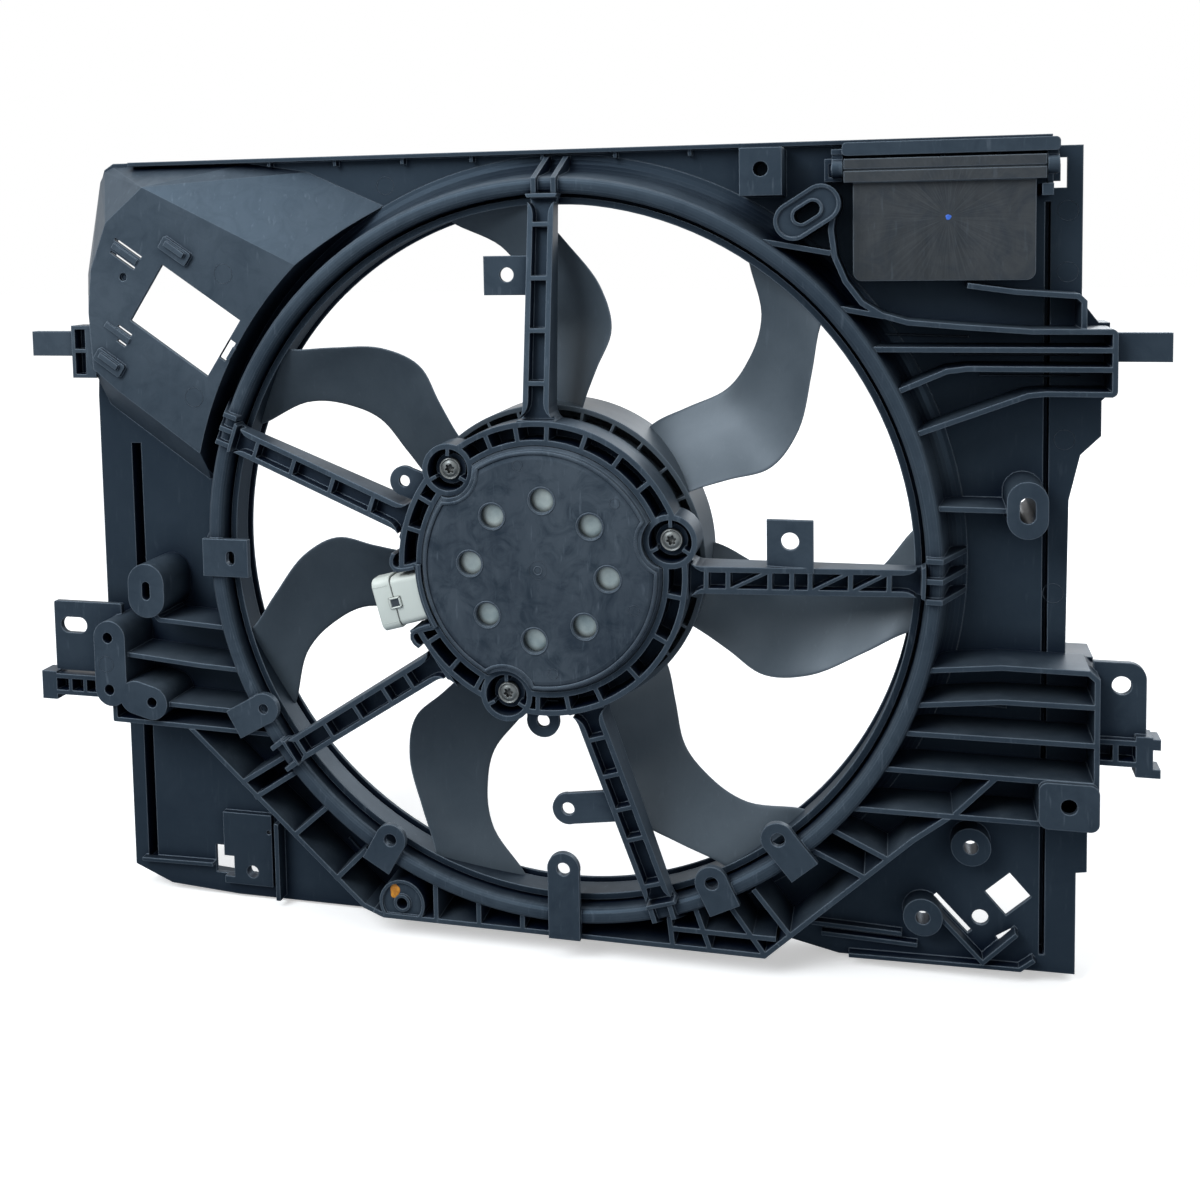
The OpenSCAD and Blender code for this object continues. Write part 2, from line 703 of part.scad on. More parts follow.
// Frame of the flap: a duct that the flap shuts on, a rail above it and two snap bearings
flap_seat_h = panel_h + 21;
flap_back_h = flap_seat_h + seat_gap;
flap_front_h = flap_back_h + flap_t;
flap_axis_h = flap_back_h + 1.6;
pin_r = flap_pin_d / 2;
bearing_block_r = pin_r + 2.6;
flap_bar_half = flap_w / 2 + 5;
pin_half = flap_bar_half + 7;
clip_w = 6;
rail_rise = 8;
rail_t = 3;

rail_z = flap_axis_z + rail_rise;
rail_in_x = flap_x - flap_bar_half - 7;
rail_out_x = flap_x + flap_bar_half + 7;

module snap_bearing(side) {
    x = flap_x + side * (flap_bar_half + 0.6);
    translate([x, flap_axis_z, flap_axis_h]) rotate([0, side * 90, 0]) difference() {
        union() {
            cylinder(r = bearing_block_r, h = clip_w);
            translate([side > 0 ? 0 : -flap_axis_h + panel_h, -bearing_block_r, 0])
                cube([flap_axis_h - panel_h, bearing_block_r + rail_rise + 1, clip_w]);
        }
        translate([0, 0, -overlap]) cylinder(r = pin_r + run_gap, h = clip_w + 2 * overlap);
    }
}

module flap_frame() {
    color("#2a3036") upright() {
        slab(panel_h, flap_seat_h) difference() {
            box2(window_in - [2.5, 2.5], window_out + [2.5, 2.5]);
            box2(window_in, window_out);
        }
        slab(panel_h, flap_axis_h + 1) box2([rail_in_x, rail_z], [rail_out_x, rail_z + rail_t]);
        slab(flap_axis_h + 1, flap_axis_h + 4)
            plate2([flap_x - flap_bar_half - 1, rail_z - 1], [rail_out_x, panel_top - 2.6], 2.5);
        slab(flap_seat_h - 6, flap_seat_h - 2) difference() {
            box2([rail_in_x - 4, flap_axis_z - 7], [rail_in_x + 6, flap_axis_z + 6]);
            box2([rail_in_x - 1.5, flap_axis_z - 4.5], [rail_in_x + 3, flap_axis_z + 3]);
        }
        slab(panel_h, flap_seat_h - 3) box2([rail_in_x - 4, flap_axis_z - 7], [rail_in_x - 1,
            flap_axis_z - 3]);
        slab(panel_h, flap_axis_h + 1) box2([rail_out_x - 9, flap_axis_z - 17], [rail_out_x - 3,
            flap_axis_z - 10.5]);
        slab(flap_seat_h - 6, flap_seat_h) box2([rail_out_x - 6, flap_axis_z - 11], [rail_out_x - 3,
            flap_axis_z - 4]);
        slab(panel_h, panel_h + 12) for (x = [window_in[0] + 12, flap_x, window_out[0] - 12])
            box2([x - 1.2, window_out[1] + 1], [x + 1.2, rail_z + 1]);
        for (s = [-1, 1]) snap_bearing(s);
    }
}

module lower_right_box() {
    color("#2a3036") upright() {
        outside_ring() slab(panel_h, box_h) {
            polygon(stroke([[196, -58.5], [257, -52.5], [lower_box_x - 6, -53], [lower_box_x - 1.5,
                -57]], rib_t));
            polygon(stroke([[190, -79], [257, -72], [lower_box_x - 1, -72]], rib_t));
            polygon(stroke([[180, -93.5], [lower_box_x - 1, -93.5]], rib_t));
            polygon(stroke([[170, -115], [lower_box_x - 1, -116]], rib_t));
            polygon(stroke([[155, right_sill_z], [lower_box_x - 1, right_sill_z]], rib_t));
            box2([lower_box_x - 3, -139], [lower_box_x, -56]);
            polygon(stroke([[254, -116], [232, -139]], rib_t));
            box2([277, -139], [280, -117]);
        }
        difference() {
            slab(box_h, pad_h) plate2([277, -141.5], [lower_box_x, -115], 5);
            rod([293, -128], 4.4, box_h - overlap, pad_h + overlap);
        }
        difference() {
            slab(bracket_h - bracket_t / 2, bracket_h + bracket_t / 2) {
                plate2([lower_box_x + 5, -92], [bracket_x, -50], 9);
                box2([lower_box_x - 2, -94], [bracket_x, -62]);
                box2([lower_box_x - 2, -63], [lower_box_x + 15, -50]);
            }
            rod([right_bolt_x, bolt_z], bolt_hole_d / 2, bracket_h - bracket_t, bracket_h + bracket_t);
        }
        rib([[lower_box_x - 1, -94], [hook_x + 2, -94]], bracket_h - 6, bracket_h + 6);
        rib([[lower_box_x - 1, -106], [hook_x + 2, -106]], bracket_h - 6, bracket_h + 6);
        slab(bracket_h - 6, bracket_h - 3.5) box2([lower_box_x - 1, -106], [hook_x + 2, -94]);
        slab(bracket_h - 6, bracket_h + 6) {
            box2([lower_box_x + 8, -106], [lower_box_x + 11, -93]);
            box2([hook_x, -113], [hook_x + 9, -90]);
            box2([hook_x + 8, -97], [hook_x + 13, -91]);
            box2([hook_x + 8, -113], [hook_x + 13, -108]);
        }
    }
}
bracket_h = 40;
bracket_x = lower_box_x + 26;
hook_x = lower_box_x + 20;
right_bolt_x = lower_box_x + 13;
left_bolt_x = -336;

module lower_left_box() {
    color("#2a3036") upright() {
        outside_ring() difference() {
            union() {
                slab(panel_h, box_h) {
                    polygon(stroke([[-206, -55.5], [-264, -52], [-270, -46]], rib_t));
                    polygon(stroke([[-205, -82], [-236, -80.5], [-290, -76]], rib_t));
                    polygon(stroke([[-195, -109.5], [-275, -107]], rib_t));
                    polygon(stroke(left_sill, rib_t));
                    polygon(stroke([[-299, -121], [-299, -60]], rib_t));
                }
                slab(panel_h, pad_h) {
                    oval([-271, -32.5], 4.8, 12.8, 90);
                    oval([-299.2, -82], 17, 11.3, 90);
                    oval([-276, -105], 6, 11, -15);
                }
            }
            slab(panel_h + 10, pad_h + overlap) oval([-271, -32.5], 3.2, 2.8, 90);
            for (z = [-65, -99.5]) rod([-300.5, z], 3.5, panel_h + 10, pad_h + overlap);
            rod([-270, -106], 3.4, panel_h + 10, pad_h + overlap);
        }
        difference() {
            slab(bracket_h - bracket_t / 2, bracket_h + bracket_t / 2) plate2([-350.5, -94], [-300, -47],
                1.5);
            slab(0, pad_h) oval([left_bolt_x, bolt_z], (bolt_slot_len - bolt_slot_w) / 2, bolt_slot_w / 2);
        }
        rib([[-348, -97], [-300, -97]], bracket_h - 6, bracket_h + 6);
        rib([[-348, -108], [-300, -108]], bracket_h - 6, bracket_h + 6);
        slab(bracket_h - 6, bracket_h - 3.5) box2([-348, -108], [-300, -97]);
        slab(bracket_h - 6, bracket_h + 6) {
            for (x = [-339, -328, -317]) box2([x, -108], [x + 2.5, -96]);
            box2([-359, -113], [-348, -94]);
        }
    }
}

// Truss under the ring: a long wall bent at both ends, tied to the ring by rungs
half_boss = [-102.5, -225];
half_boss_r = 15;
left_joint = [-121.5, -231.5];
right_joint = [132.5, -226.2];
left_rungs = [[[-210, -156], [-180, -137]], [[-201, -165], [-172, -146]], [[-175, -188], [-150, -166]],
              [[-147, -214], [-125, -192]]];
rungs = [[[-80, truss_z], [-80, -205]], [[-52, truss_z], [-52, -210]], [[-24, truss_z], [-24, -215]],
         [[69.5, truss_z], [67, -212]], [[92, truss_z], [82, -205]], [[124, truss_z + 1], [100, -200]],
         [[67.5, -223], [131, -223]]];
right_rungs = [[[140, -221], [118, -194]], [[183, -181], [150, -166]], [[196, -169], [160, -152]]];

module truss(wall, ties) {
    outside_ring() difference() {
        slab(panel_h, box_h) {
            polygon(stroke(wall, rib_t));
            for (l = ties) polygon(stroke(l, rib_t));
        }
        for (t = [-6, 6]) fin(-73, t);
        slab(panel_h - overlap, box_h + overlap) {
            box2([150, right_sill_z - rib_t / 2], [lower_box_x, 0]);
            polygon(concat(rail(left_sill, rib_t / 2), [[-300, 0], [-185, 0]]));
        }
    }
}

module bottom_truss() {
    color("#2a3036") upright() {
        truss([left_joint, [-115, truss_z], [124, truss_z], right_joint], rungs);
        outside_ring() difference() {
            slab(panel_h, box_h) intersection() {
                translate(half_boss) circle(half_boss_r);
                box2([-130, truss_z - 1.5], [-80, -200]);
            }
            slab(box_h - 1.5, box_h + overlap) translate(half_boss) difference() {
                circle(half_boss_r - 2);
                circle(5.5);
            }
            rod(half_boss, 3.6, panel_h + 15, box_h + overlap);
        }
    }
}

module left_truss() { color("#2a3036") upright() truss([left_knee, [-128, -229], left_joint], left_rungs); }

module right_truss() { color("#2a3036") upright() truss([right_joint, [209, -156], [231, -139]],
    right_rungs); }

// Flap: a plate that hangs from a round bar, with a pin at each end of the bar
flap_bar_r = 4.5;
strip_low = 7.8;
strip_high = 5.2;
flap_top_z = flap_axis_z - flap_bar_r - 1.5;
flap_low_z = flap_top_z - flap_h;
module air_flap() {
    color("#3a4046") upright() {
        slab(flap_back_h, flap_front_h)
            plate2([flap_x - flap_w / 2, flap_low_z], [flap_x + flap_w / 2, flap_top_z + 5], 5);
        difference() {
            slab(flap_axis_h - flap_bar_r + 1.6, flap_axis_h + flap_bar_r)
                box2([flap_x - flap_bar_half, flap_axis_z - strip_low], [flap_x + flap_bar_half,
                    flap_axis_z + strip_high]);
            slab(flap_axis_h + pin_r + 0.8, flap_axis_h + flap_bar_r + overlap)
                box2([flap_x - flap_bar_half - overlap, flap_axis_z - 1.6],
                    [flap_x + flap_bar_half + overlap, flap_axis_z - 0.4]);
        }
        translate([flap_x - pin_half, flap_axis_z, flap_axis_h]) rotate([0, 90, 0])
            cylinder(r = pin_r, h = 2 * pin_half);
    }
}

// Blades: the two edges of the seen outline, as angles at even steps from hub to band
edge_low = [-8, -9.7, -11.2, -6.6, 1.2, 7];
edge_high = [20, 14.2, 9.9, 11, 14.8, 22.5];
blade_spans = 12;
blade_chords = 8;
blade_root_h = hub_rim_h - 4;
blade_tip_h = band_h - 2;
blade_in_r = hub_r - hub_wall / 2;
blade_out_r = band_r - band_t / 2;
camber = 3;

function smooth(v, i, f) = let (n = len(v) - 1, a = v[max(i - 1, 0)], b = v[i], c = v[min(i + 1, n)],
    d = v[min(i + 2, n)])
    b + 0.5 * f * (c - a + f * (2 * a - 5 * b + 4 * c - d + f * (3 * (b - c) + d - a)));
function along(v, s) = let (x = s * (len(v) - 1), i = min(floor(x), len(v) - 2)) smooth(v, i, x - i);
function mix(a, b, s) = a + (b - a) * s;
function blade_point(s, c, side) =
    let (r = mix(blade_in_r, blade_out_r, s), a = mix(along(edge_low, s), along(edge_high, s), c),
         fall = mix(blade_fall_root, blade_fall_tip, s) * c,
         bow = camber * 4 * c * (1 - c),
         half = blade_t / 2 * (0.35 + 0.65 * sin(180 * c)))
    [r * cos(a), r * sin(a), mix(blade_root_h, blade_tip_h, s) - fall - bow + side * half];

module blade() {
    n = 2 * (blade_chords + 1);
    points = [for (i = [0:blade_spans]) each concat(
        [for (j = [0:blade_chords]) blade_point(i / blade_spans, j / blade_chords, 1)],
        [for (j = [blade_chords:-1:0]) blade_point(i / blade_spans, j / blade_chords, -1)])];
    skin = [for (i = [0:blade_spans - 1], j = [0:n - 1])
        let (a = i * n + j, b = i * n + (j + 1) % n) each [[a, b, b + n], [a, b + n, a + n]]];
    last = blade_spans * n;
    ends = [for (j = [0:blade_chords - 1]) let (k = n - 1 - j) each [
        [j, k, k - 1], [j, k - 1, j + 1],
        [last + j, last + k - 1, last + k], [last + j, last + j + 1, last + k - 1]]];
    polyhedron(points, concat(skin, ends));
}

module hub_shell() {
    rotate_extrude() polygon([
        [shaft_r + tiny, hub_nose_h], [hub_r - 6, hub_nose_h], [hub_r - 2, hub_nose_h + 2], [hub_r,
            hub_nose_h + 6],
        [hub_r, hub_rim_h], [hub_r - hub_wall, hub_rim_h], [hub_r - hub_wall, hub_nose_h + 7],
        [hub_r - 8, hub_nose_h + hub_wall], [hub_boss_r, hub_nose_h + hub_wall],
        [hub_boss_r, hub_nose_h + hub_boss_depth], [shaft_r + tiny, hub_nose_h + hub_boss_depth]]);
}

vane_h = 12;
hub_hole_r = 9;
hub_hole_circle = 52;
module fan_hub() {
    color("#3b4a55") upright() {
        difference() {
            hub_shell();
            for (i = [0:5]) rotate(60 * i + 30) translate([hub_hole_circle, 0, hub_nose_h - overlap])
                cylinder(r = hub_hole_r, h = hub_wall + 2 * overlap);
        }
        for (i = [0:vane_count - 1]) rotate(360 / vane_count * i)
            translate([vane_ring_r, -0.8, hub_rim_h - vane_h])
                cube([hub_r - hub_wall / 2 - vane_ring_r, 1.6, vane_h - tiny]);
        rotate_extrude() translate([vane_ring_r, hub_rim_h - vane_h]) square([2, vane_h - 1]);
    }
}

module fan_blades() {
    color("#3b4a55") upright() for (k = [0:blade_count - 1]) rotate(blade_start + 360 / blade_count * k)
        difference() {
            blade();
            rod([0, 0], hub_r, 0, rim_h);
            difference() {
                rod([0, 0], band_r + 10, 0, rim_h);
                rod([0, 0], band_r - band_t, -overlap, rim_h + overlap);
            }
        }
}

module fan_band() {
    color("#3b4a55") upright() rotate_extrude() polygon([
        [band_r - band_t, band_h - band_w], [band_r, band_h - band_w], [band_r, band_h],
        [band_r - band_t - 1.5, band_h], [band_r - band_t, band_h - 2.5]]);
}

module hub_nut() {
    color("#8d9196") upright() difference() {
        translate([0, 0, hub_nose_h - 6.5]) cylinder(r = shaft_r + 3.5, h = 6.5, $fn = 6);
        translate([0, 0, hub_nose_h - 7.5]) cylinder(r = shaft_r, h = 8.5);
    }
}

shaft_rear_h = end_plate_h - 0.5;
module motor_shaft() { color("#a9adb2") upright() rod([0, 0], shaft_r, hub_nose_h - 7, shaft_rear_h); }

// Armature: toothed core, one coil round each tooth, and the commutator
tooth_step = 360 / tooth_count;
core_hub_r = 16;
tooth_w = 6;
shoe_t = 5;
module armature_core() {
    color("#6e7276") upright() difference() {
        slab(core_h, core_h + core_len) {
            circle(core_hub_r);
            difference() {
                circle(core_r);
                circle(core_r - shoe_t);
                for (i = [0:tooth_count - 1]) rotate(tooth_step * (i + 0.5))
                    translate([core_r / 2, -1.2]) square([core_r, 2.4]);
            }
            for (i = [0:tooth_count - 1]) rotate(tooth_step * i)
                translate([core_hub_r - 1, -tooth_w / 2]) square([core_r - shoe_t - core_hub_r + 2, tooth_w]);
        }
        rod([0, 0], shaft_r + tiny, core_h - overlap, core_h + core_len + overlap);
    }
}

module coil() {
    rise = 5;
    inner = core_hub_r + 7;
    outer = core_r - shoe_t - 2 * seat_gap;
    half = tooth_w / 2 + seat_gap;
    reach = inner * sin(tooth_step / 2) - seat_gap;
    difference() {
        translate([inner, -reach, core_h - rise]) cube([outer - inner, 2 * reach, core_len + 2 * rise]);
        translate([inner - 1, -half, core_h - seat_gap]) cube([outer - inner + 2, 2 * half,
            core_len + 2 * seat_gap]);
    }
}
module armature_windings() {
    color("#b8692e") upright() for (i = [0:tooth_count - 1]) rotate(tooth_step * i) coil();
}

module commutator() {
    low = core_h + core_len;
    color("#b87333") upright() difference() {
        rod([0, 0], commutator_r, low, can_rear_h - 5);
        rod([0, 0], shaft_r + tiny, low - overlap, can_rear_h);
        for (i = [0:tooth_count - 1]) rotate(tooth_step * i)
            translate([commutator_r - 2, -0.4, low + 2]) cube([3, 0.8, can_rear_h]);
    }
}

// Can of the motor with its three screw lugs and the seat of the front bearing
module motor_can() {
    color("#7b8086") upright() difference() {
        union() {
            rotate_extrude() polygon([
                [bearing_r, can_nose_h], [can_r - 3, can_nose_h], [can_r, can_nose_h + 3], [can_r,
                    can_rear_h],
                [can_r - can_wall, can_rear_h], [can_r - can_wall, can_nose_h + 4],
                [can_r - 5, can_nose_h + can_wall], [bearing_r + 2, can_nose_h + can_wall],
                [bearing_r + 2, can_nose_h + bearing_w + 1], [bearing_r, can_nose_h + bearing_w + 1]]);
            difference() {
                slab(lug_h, lug_h + lug_t) {
                    at_screws() circle(lug_r);
                    for (a = screw_angles) rotate(a) translate([can_r - 1, -lug_r])
                        square([screw_circle_r - can_r + 1, 2 * lug_r]);
                }
                rod([0, 0], can_r - 1, lug_h - overlap, lug_h + lug_t + overlap);
            }
        }
        at_screws() rod([0, 0], screw_d / 2, lug_h - overlap, lug_h + lug_t + overlap);
        slab(can_rear_h - 6, can_rear_h + overlap)
            rotate(plug_angle) translate([can_r - 6, -5]) square([10, 10]);
    }
}

module magnets() {
    color("#45484c") upright() slab(core_h - 2, core_h + core_len + 2)
        for (i = [0:magnet_count - 1]) rotate(360 / magnet_count * i) difference() {
            intersection() {
                circle(can_r - can_wall);
                polygon(concat([[0, 0]], arc([0, 0], 2 * can_r, -150 / magnet_count, 150 / magnet_count)));
            }
            circle(magnet_in_r);
        }
}

module ball_bearing(low) {
    mid = (shaft_r + bearing_r) / 2;
    translate([0, 0, low]) {
        difference() {
            cylinder(r = bearing_r, h = bearing_w);
            translate([0, 0, -overlap]) cylinder(r = bearing_r - 1.6, h = bearing_w + 2 * overlap);
        }
        difference() {
            cylinder(r = mid - 0.6, h = bearing_w);
            translate([0, 0, -overlap]) cylinder(r = shaft_r + run_gap, h = bearing_w + 2 * overlap);
        }
        for (i = [0:7]) rotate(45 * i) translate([mid + 0.65, 0, bearing_w / 2]) sphere(r = 1.2, $fn = 24);
    }
}
module front_bearing() { color("#c3c6ca") upright() ball_bearing(can_nose_h + 0.5); }
module rear_bearing() { color("#c3c6ca") upright() ball_bearing(end_plate_h - bearing_w); }

module brush_card() {
    color("#5b4a32") upright() difference() {
        rod([0, 0], can_r - can_wall - seat_gap, brush_card_h, brush_card_h + brush_card_t);
        rod([0, 0], commutator_r + 2, brush_card_h - overlap, brush_card_h + brush_card_t + overlap);
    }
}

brush_angles = [for (i = [0:3]) 45 + 90 * i];
brush_len = 14;
module brushes() {
    color("#2b2b2b") upright() for (a = brush_angles) rotate(a)
        translate([commutator_r + 0.1, -3, brush_card_h - 5.3]) cube([brush_len, 6, 5]);
}
module brush_springs() {
    color("#b5b8bc") upright() for (a = brush_angles) rotate(a)
        translate([commutator_r + brush_len + 0.2, 0, brush_card_h - 2.8]) rotate([0, 90, 0]) for (i = [0:3])
            translate([0, 0, 1 + 2.4 * i]) rotate_extrude() translate([2, 0]) circle(0.45, $fn = 16);
}

module end_plate() {
    color("#9aa09d") upright() difference() {
        rotate_extrude() polygon([
            [0, end_plate_h], [bearing_r, end_plate_h], [bearing_r, end_plate_h - bearing_w],
            [bearing_r + 2, end_plate_h - bearing_w], [bearing_r + 2, can_rear_h], [can_r, can_rear_h],
            [can_r + 4, can_rear_h], [can_r + 4, end_plate_h + end_plate_t], [0, end_plate_h + end_plate_t]]);
        at_screws() rod([0, 0], lobe_r + seat_gap, can_rear_h - overlap, cover_h);
    }
}

// Rear cover with its holes, and notches where the screws sit
module motor_cover() {
    color("#4a5358") upright() difference() {
        rotate_extrude() polygon([
            [0, cover_h - cover_t], [cover_r - cover_skirt_t, cover_h - cover_t],
            [cover_r - cover_skirt_t, cover_skirt_h], [cover_r, cover_skirt_h], [cover_r, cover_h - 4],
            [cover_r - 1.5, cover_h - 1.8], [cover_r - 4, cover_h - 0.6], [cover_r - 7, cover_h], [0,
                cover_h]]);
        at_screws() rod([0, 0], lobe_r + seat_gap, cover_skirt_h - overlap, cover_h + overlap);
        for (i = [0:cover_hole_count - 1]) rotate(360 / cover_hole_count * i + 86)
            translate([cover_hole_circle, 0, cover_h - cover_t - overlap]) cylinder(r = cover_hole_d / 2,
                h = cover_t + 2 * overlap);
        slab(cover_skirt_h - overlap, cover_h - cover_t) plug_gate(0);
    }
}

screw_h = boss_h;
module motor_screws() {
    color("#8a8176") upright() at_screws() difference() {
        union() {
            rod([0, 0], screw_d / 2 - tiny, lug_h - 3, screw_h + 1);
            rod([0, 0], screw_head_d / 2 + 1.6, screw_h, screw_h + 1.4);
            rod([0, 0], screw_head_d / 2, screw_h + 1.4, screw_h + 5);
        }
        rod([0, 0], 2.4, screw_h + 2, screw_h + 6);
    }
}

module screw_sleeves() {
    color("#9b9fa3") upright() at_screws() difference() {
        rod([0, 0], sleeve_r, carrier_floor_h, boss_h - tiny);
        rod([0, 0], sleeve_bore_r, carrier_floor_h - overlap, boss_h + overlap);
    }
}

// Two-way connector of the motor, open outwards
plug_in_r = carrier_in_r - 1;
plug_low_h = carrier_floor_h + 2.8;
plug_high_h = carrier_h - 1;
plug_wall = 2.2;
module connector_housing() {
    color("#c9cdc6") upright() rotate(plug_angle) difference() {
        union() {
            translate([plug_in_r, -plug_w / 2, plug_low_h]) cube([plug_len * 0.55, plug_w,
                plug_high_h - plug_low_h]);
            translate([plug_in_r + plug_len * 0.5, -plug_w / 2 + 1.5, plug_low_h + 1.5])
                cube([plug_len * 0.5, plug_w - 3, plug_high_h - plug_low_h - 3]);
        }
        translate([plug_in_r + 12, -plug_w / 2 + 1.5 + plug_wall, plug_low_h + 1.5 + plug_wall])
            cube([plug_len, plug_w - 3 - 2 * plug_wall, plug_high_h - plug_low_h - 3 - 2 * plug_wall]);
        translate([plug_in_r + plug_len - 12, -3.5, plug_high_h - 5]) cube([7, 7, 8]);
        translate([plug_in_r - overlap, -5.5, plug_low_h + 5]) cube([plug_len, 1.2, 8]);
        translate([plug_in_r - overlap, 4.5, plug_low_h + 5]) cube([plug_len, 1.2, 8]);
    }
}
module connector_terminals() {
    color("#c8a24a") upright() rotate(plug_angle) for (y = [-5.3, 4.7])
        translate([can_r + 5, y, plug_low_h + 5.2]) cube([plug_len - 4, 0.8, 7.6]);
}
module connector_seal() {
    color("#7a3b2a") upright() rotate(plug_angle) translate([plug_in_r + plug_len * 0.55 + seat_gap, 0,
        0]) difference() {
        translate([0, -plug_w / 2 + 0.3, plug_low_h + 0.3]) cube([2.5, plug_w - 0.6,
            plug_high_h - plug_low_h - 0.6]);
        translate([-1, -plug_w / 2 + 1.4, plug_low_h + 1.4]) cube([5, plug_w - 2.8,
            plug_high_h - plug_low_h - 2.8]);
    }
}

shroud_panel();
controller_pocket();
fan_ring();
motor_carrier();
carrier_arms();
upper_right_box();
flap_frame();
lower_right_box();
lower_left_box();
bottom_truss();
left_truss();
right_truss();
air_flap();
fan_hub();
fan_blades();
fan_band();
hub_nut();
motor_shaft();
armature_core();
armature_windings();
commutator();
motor_can();
magnets();
front_bearing();
rear_bearing();
brush_card();
brushes();
brush_springs();
end_plate();
motor_cover();
motor_screws();
screw_sleeves();
connector_housing();
connector_terminals();
connector_seal();
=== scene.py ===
"""Dressed model of a radiator cooling fan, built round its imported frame."""

import logging
import math
from dataclasses import dataclass
from enum import Enum
from typing import Optional, Sequence

import bmesh
import bpy
from mathutils import Matrix, Vector

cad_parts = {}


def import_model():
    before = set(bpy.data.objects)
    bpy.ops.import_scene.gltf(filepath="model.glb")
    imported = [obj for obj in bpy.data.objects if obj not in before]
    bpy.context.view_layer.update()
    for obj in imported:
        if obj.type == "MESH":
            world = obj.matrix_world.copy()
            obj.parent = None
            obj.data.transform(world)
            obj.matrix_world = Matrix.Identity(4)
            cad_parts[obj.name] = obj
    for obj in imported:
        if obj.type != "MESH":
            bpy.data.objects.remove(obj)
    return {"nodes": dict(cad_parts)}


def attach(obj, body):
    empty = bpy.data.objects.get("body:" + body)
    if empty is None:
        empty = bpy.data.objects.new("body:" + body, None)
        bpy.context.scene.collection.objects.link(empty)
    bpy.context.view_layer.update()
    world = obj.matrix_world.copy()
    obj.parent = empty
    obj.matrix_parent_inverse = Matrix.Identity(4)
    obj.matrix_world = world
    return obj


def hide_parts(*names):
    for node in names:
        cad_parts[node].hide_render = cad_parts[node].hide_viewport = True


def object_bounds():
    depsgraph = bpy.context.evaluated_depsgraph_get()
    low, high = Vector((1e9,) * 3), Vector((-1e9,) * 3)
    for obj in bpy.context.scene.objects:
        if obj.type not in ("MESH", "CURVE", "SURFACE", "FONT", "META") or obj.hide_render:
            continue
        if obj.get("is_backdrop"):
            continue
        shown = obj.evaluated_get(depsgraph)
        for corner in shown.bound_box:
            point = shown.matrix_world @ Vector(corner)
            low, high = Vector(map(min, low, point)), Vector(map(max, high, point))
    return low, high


LOG = logging.getLogger("cooling_fan")
MM = 0.001
Colour = tuple[float, float, float]
Point = tuple[float, float]
Spot = tuple[float, float, float]
Node = bpy.types.Node
Socket = bpy.types.NodeSocket
Piece = bpy.types.Object
WHITE: Colour = (1.0, 1.0, 1.0)
# Places that pieces of the motor share, in millimetres and in degrees from +X
SCREW_CIRCLE_R = 78.5
SCREW_DEG = 14.0
PLUG_DEG = 195.0


class Body(Enum):
    """The bodies of the frame that pieces ride on."""

    SHROUD = "shroud"
    ROTOR = "rotor"
    FLAP = "flap"


def rgba(colour: object) -> object:
    """Give a plain colour its fourth number, and leave a socket as it is."""
    return (*colour, 1.0) if isinstance(colour, tuple) and len(colour) == 3 else colour


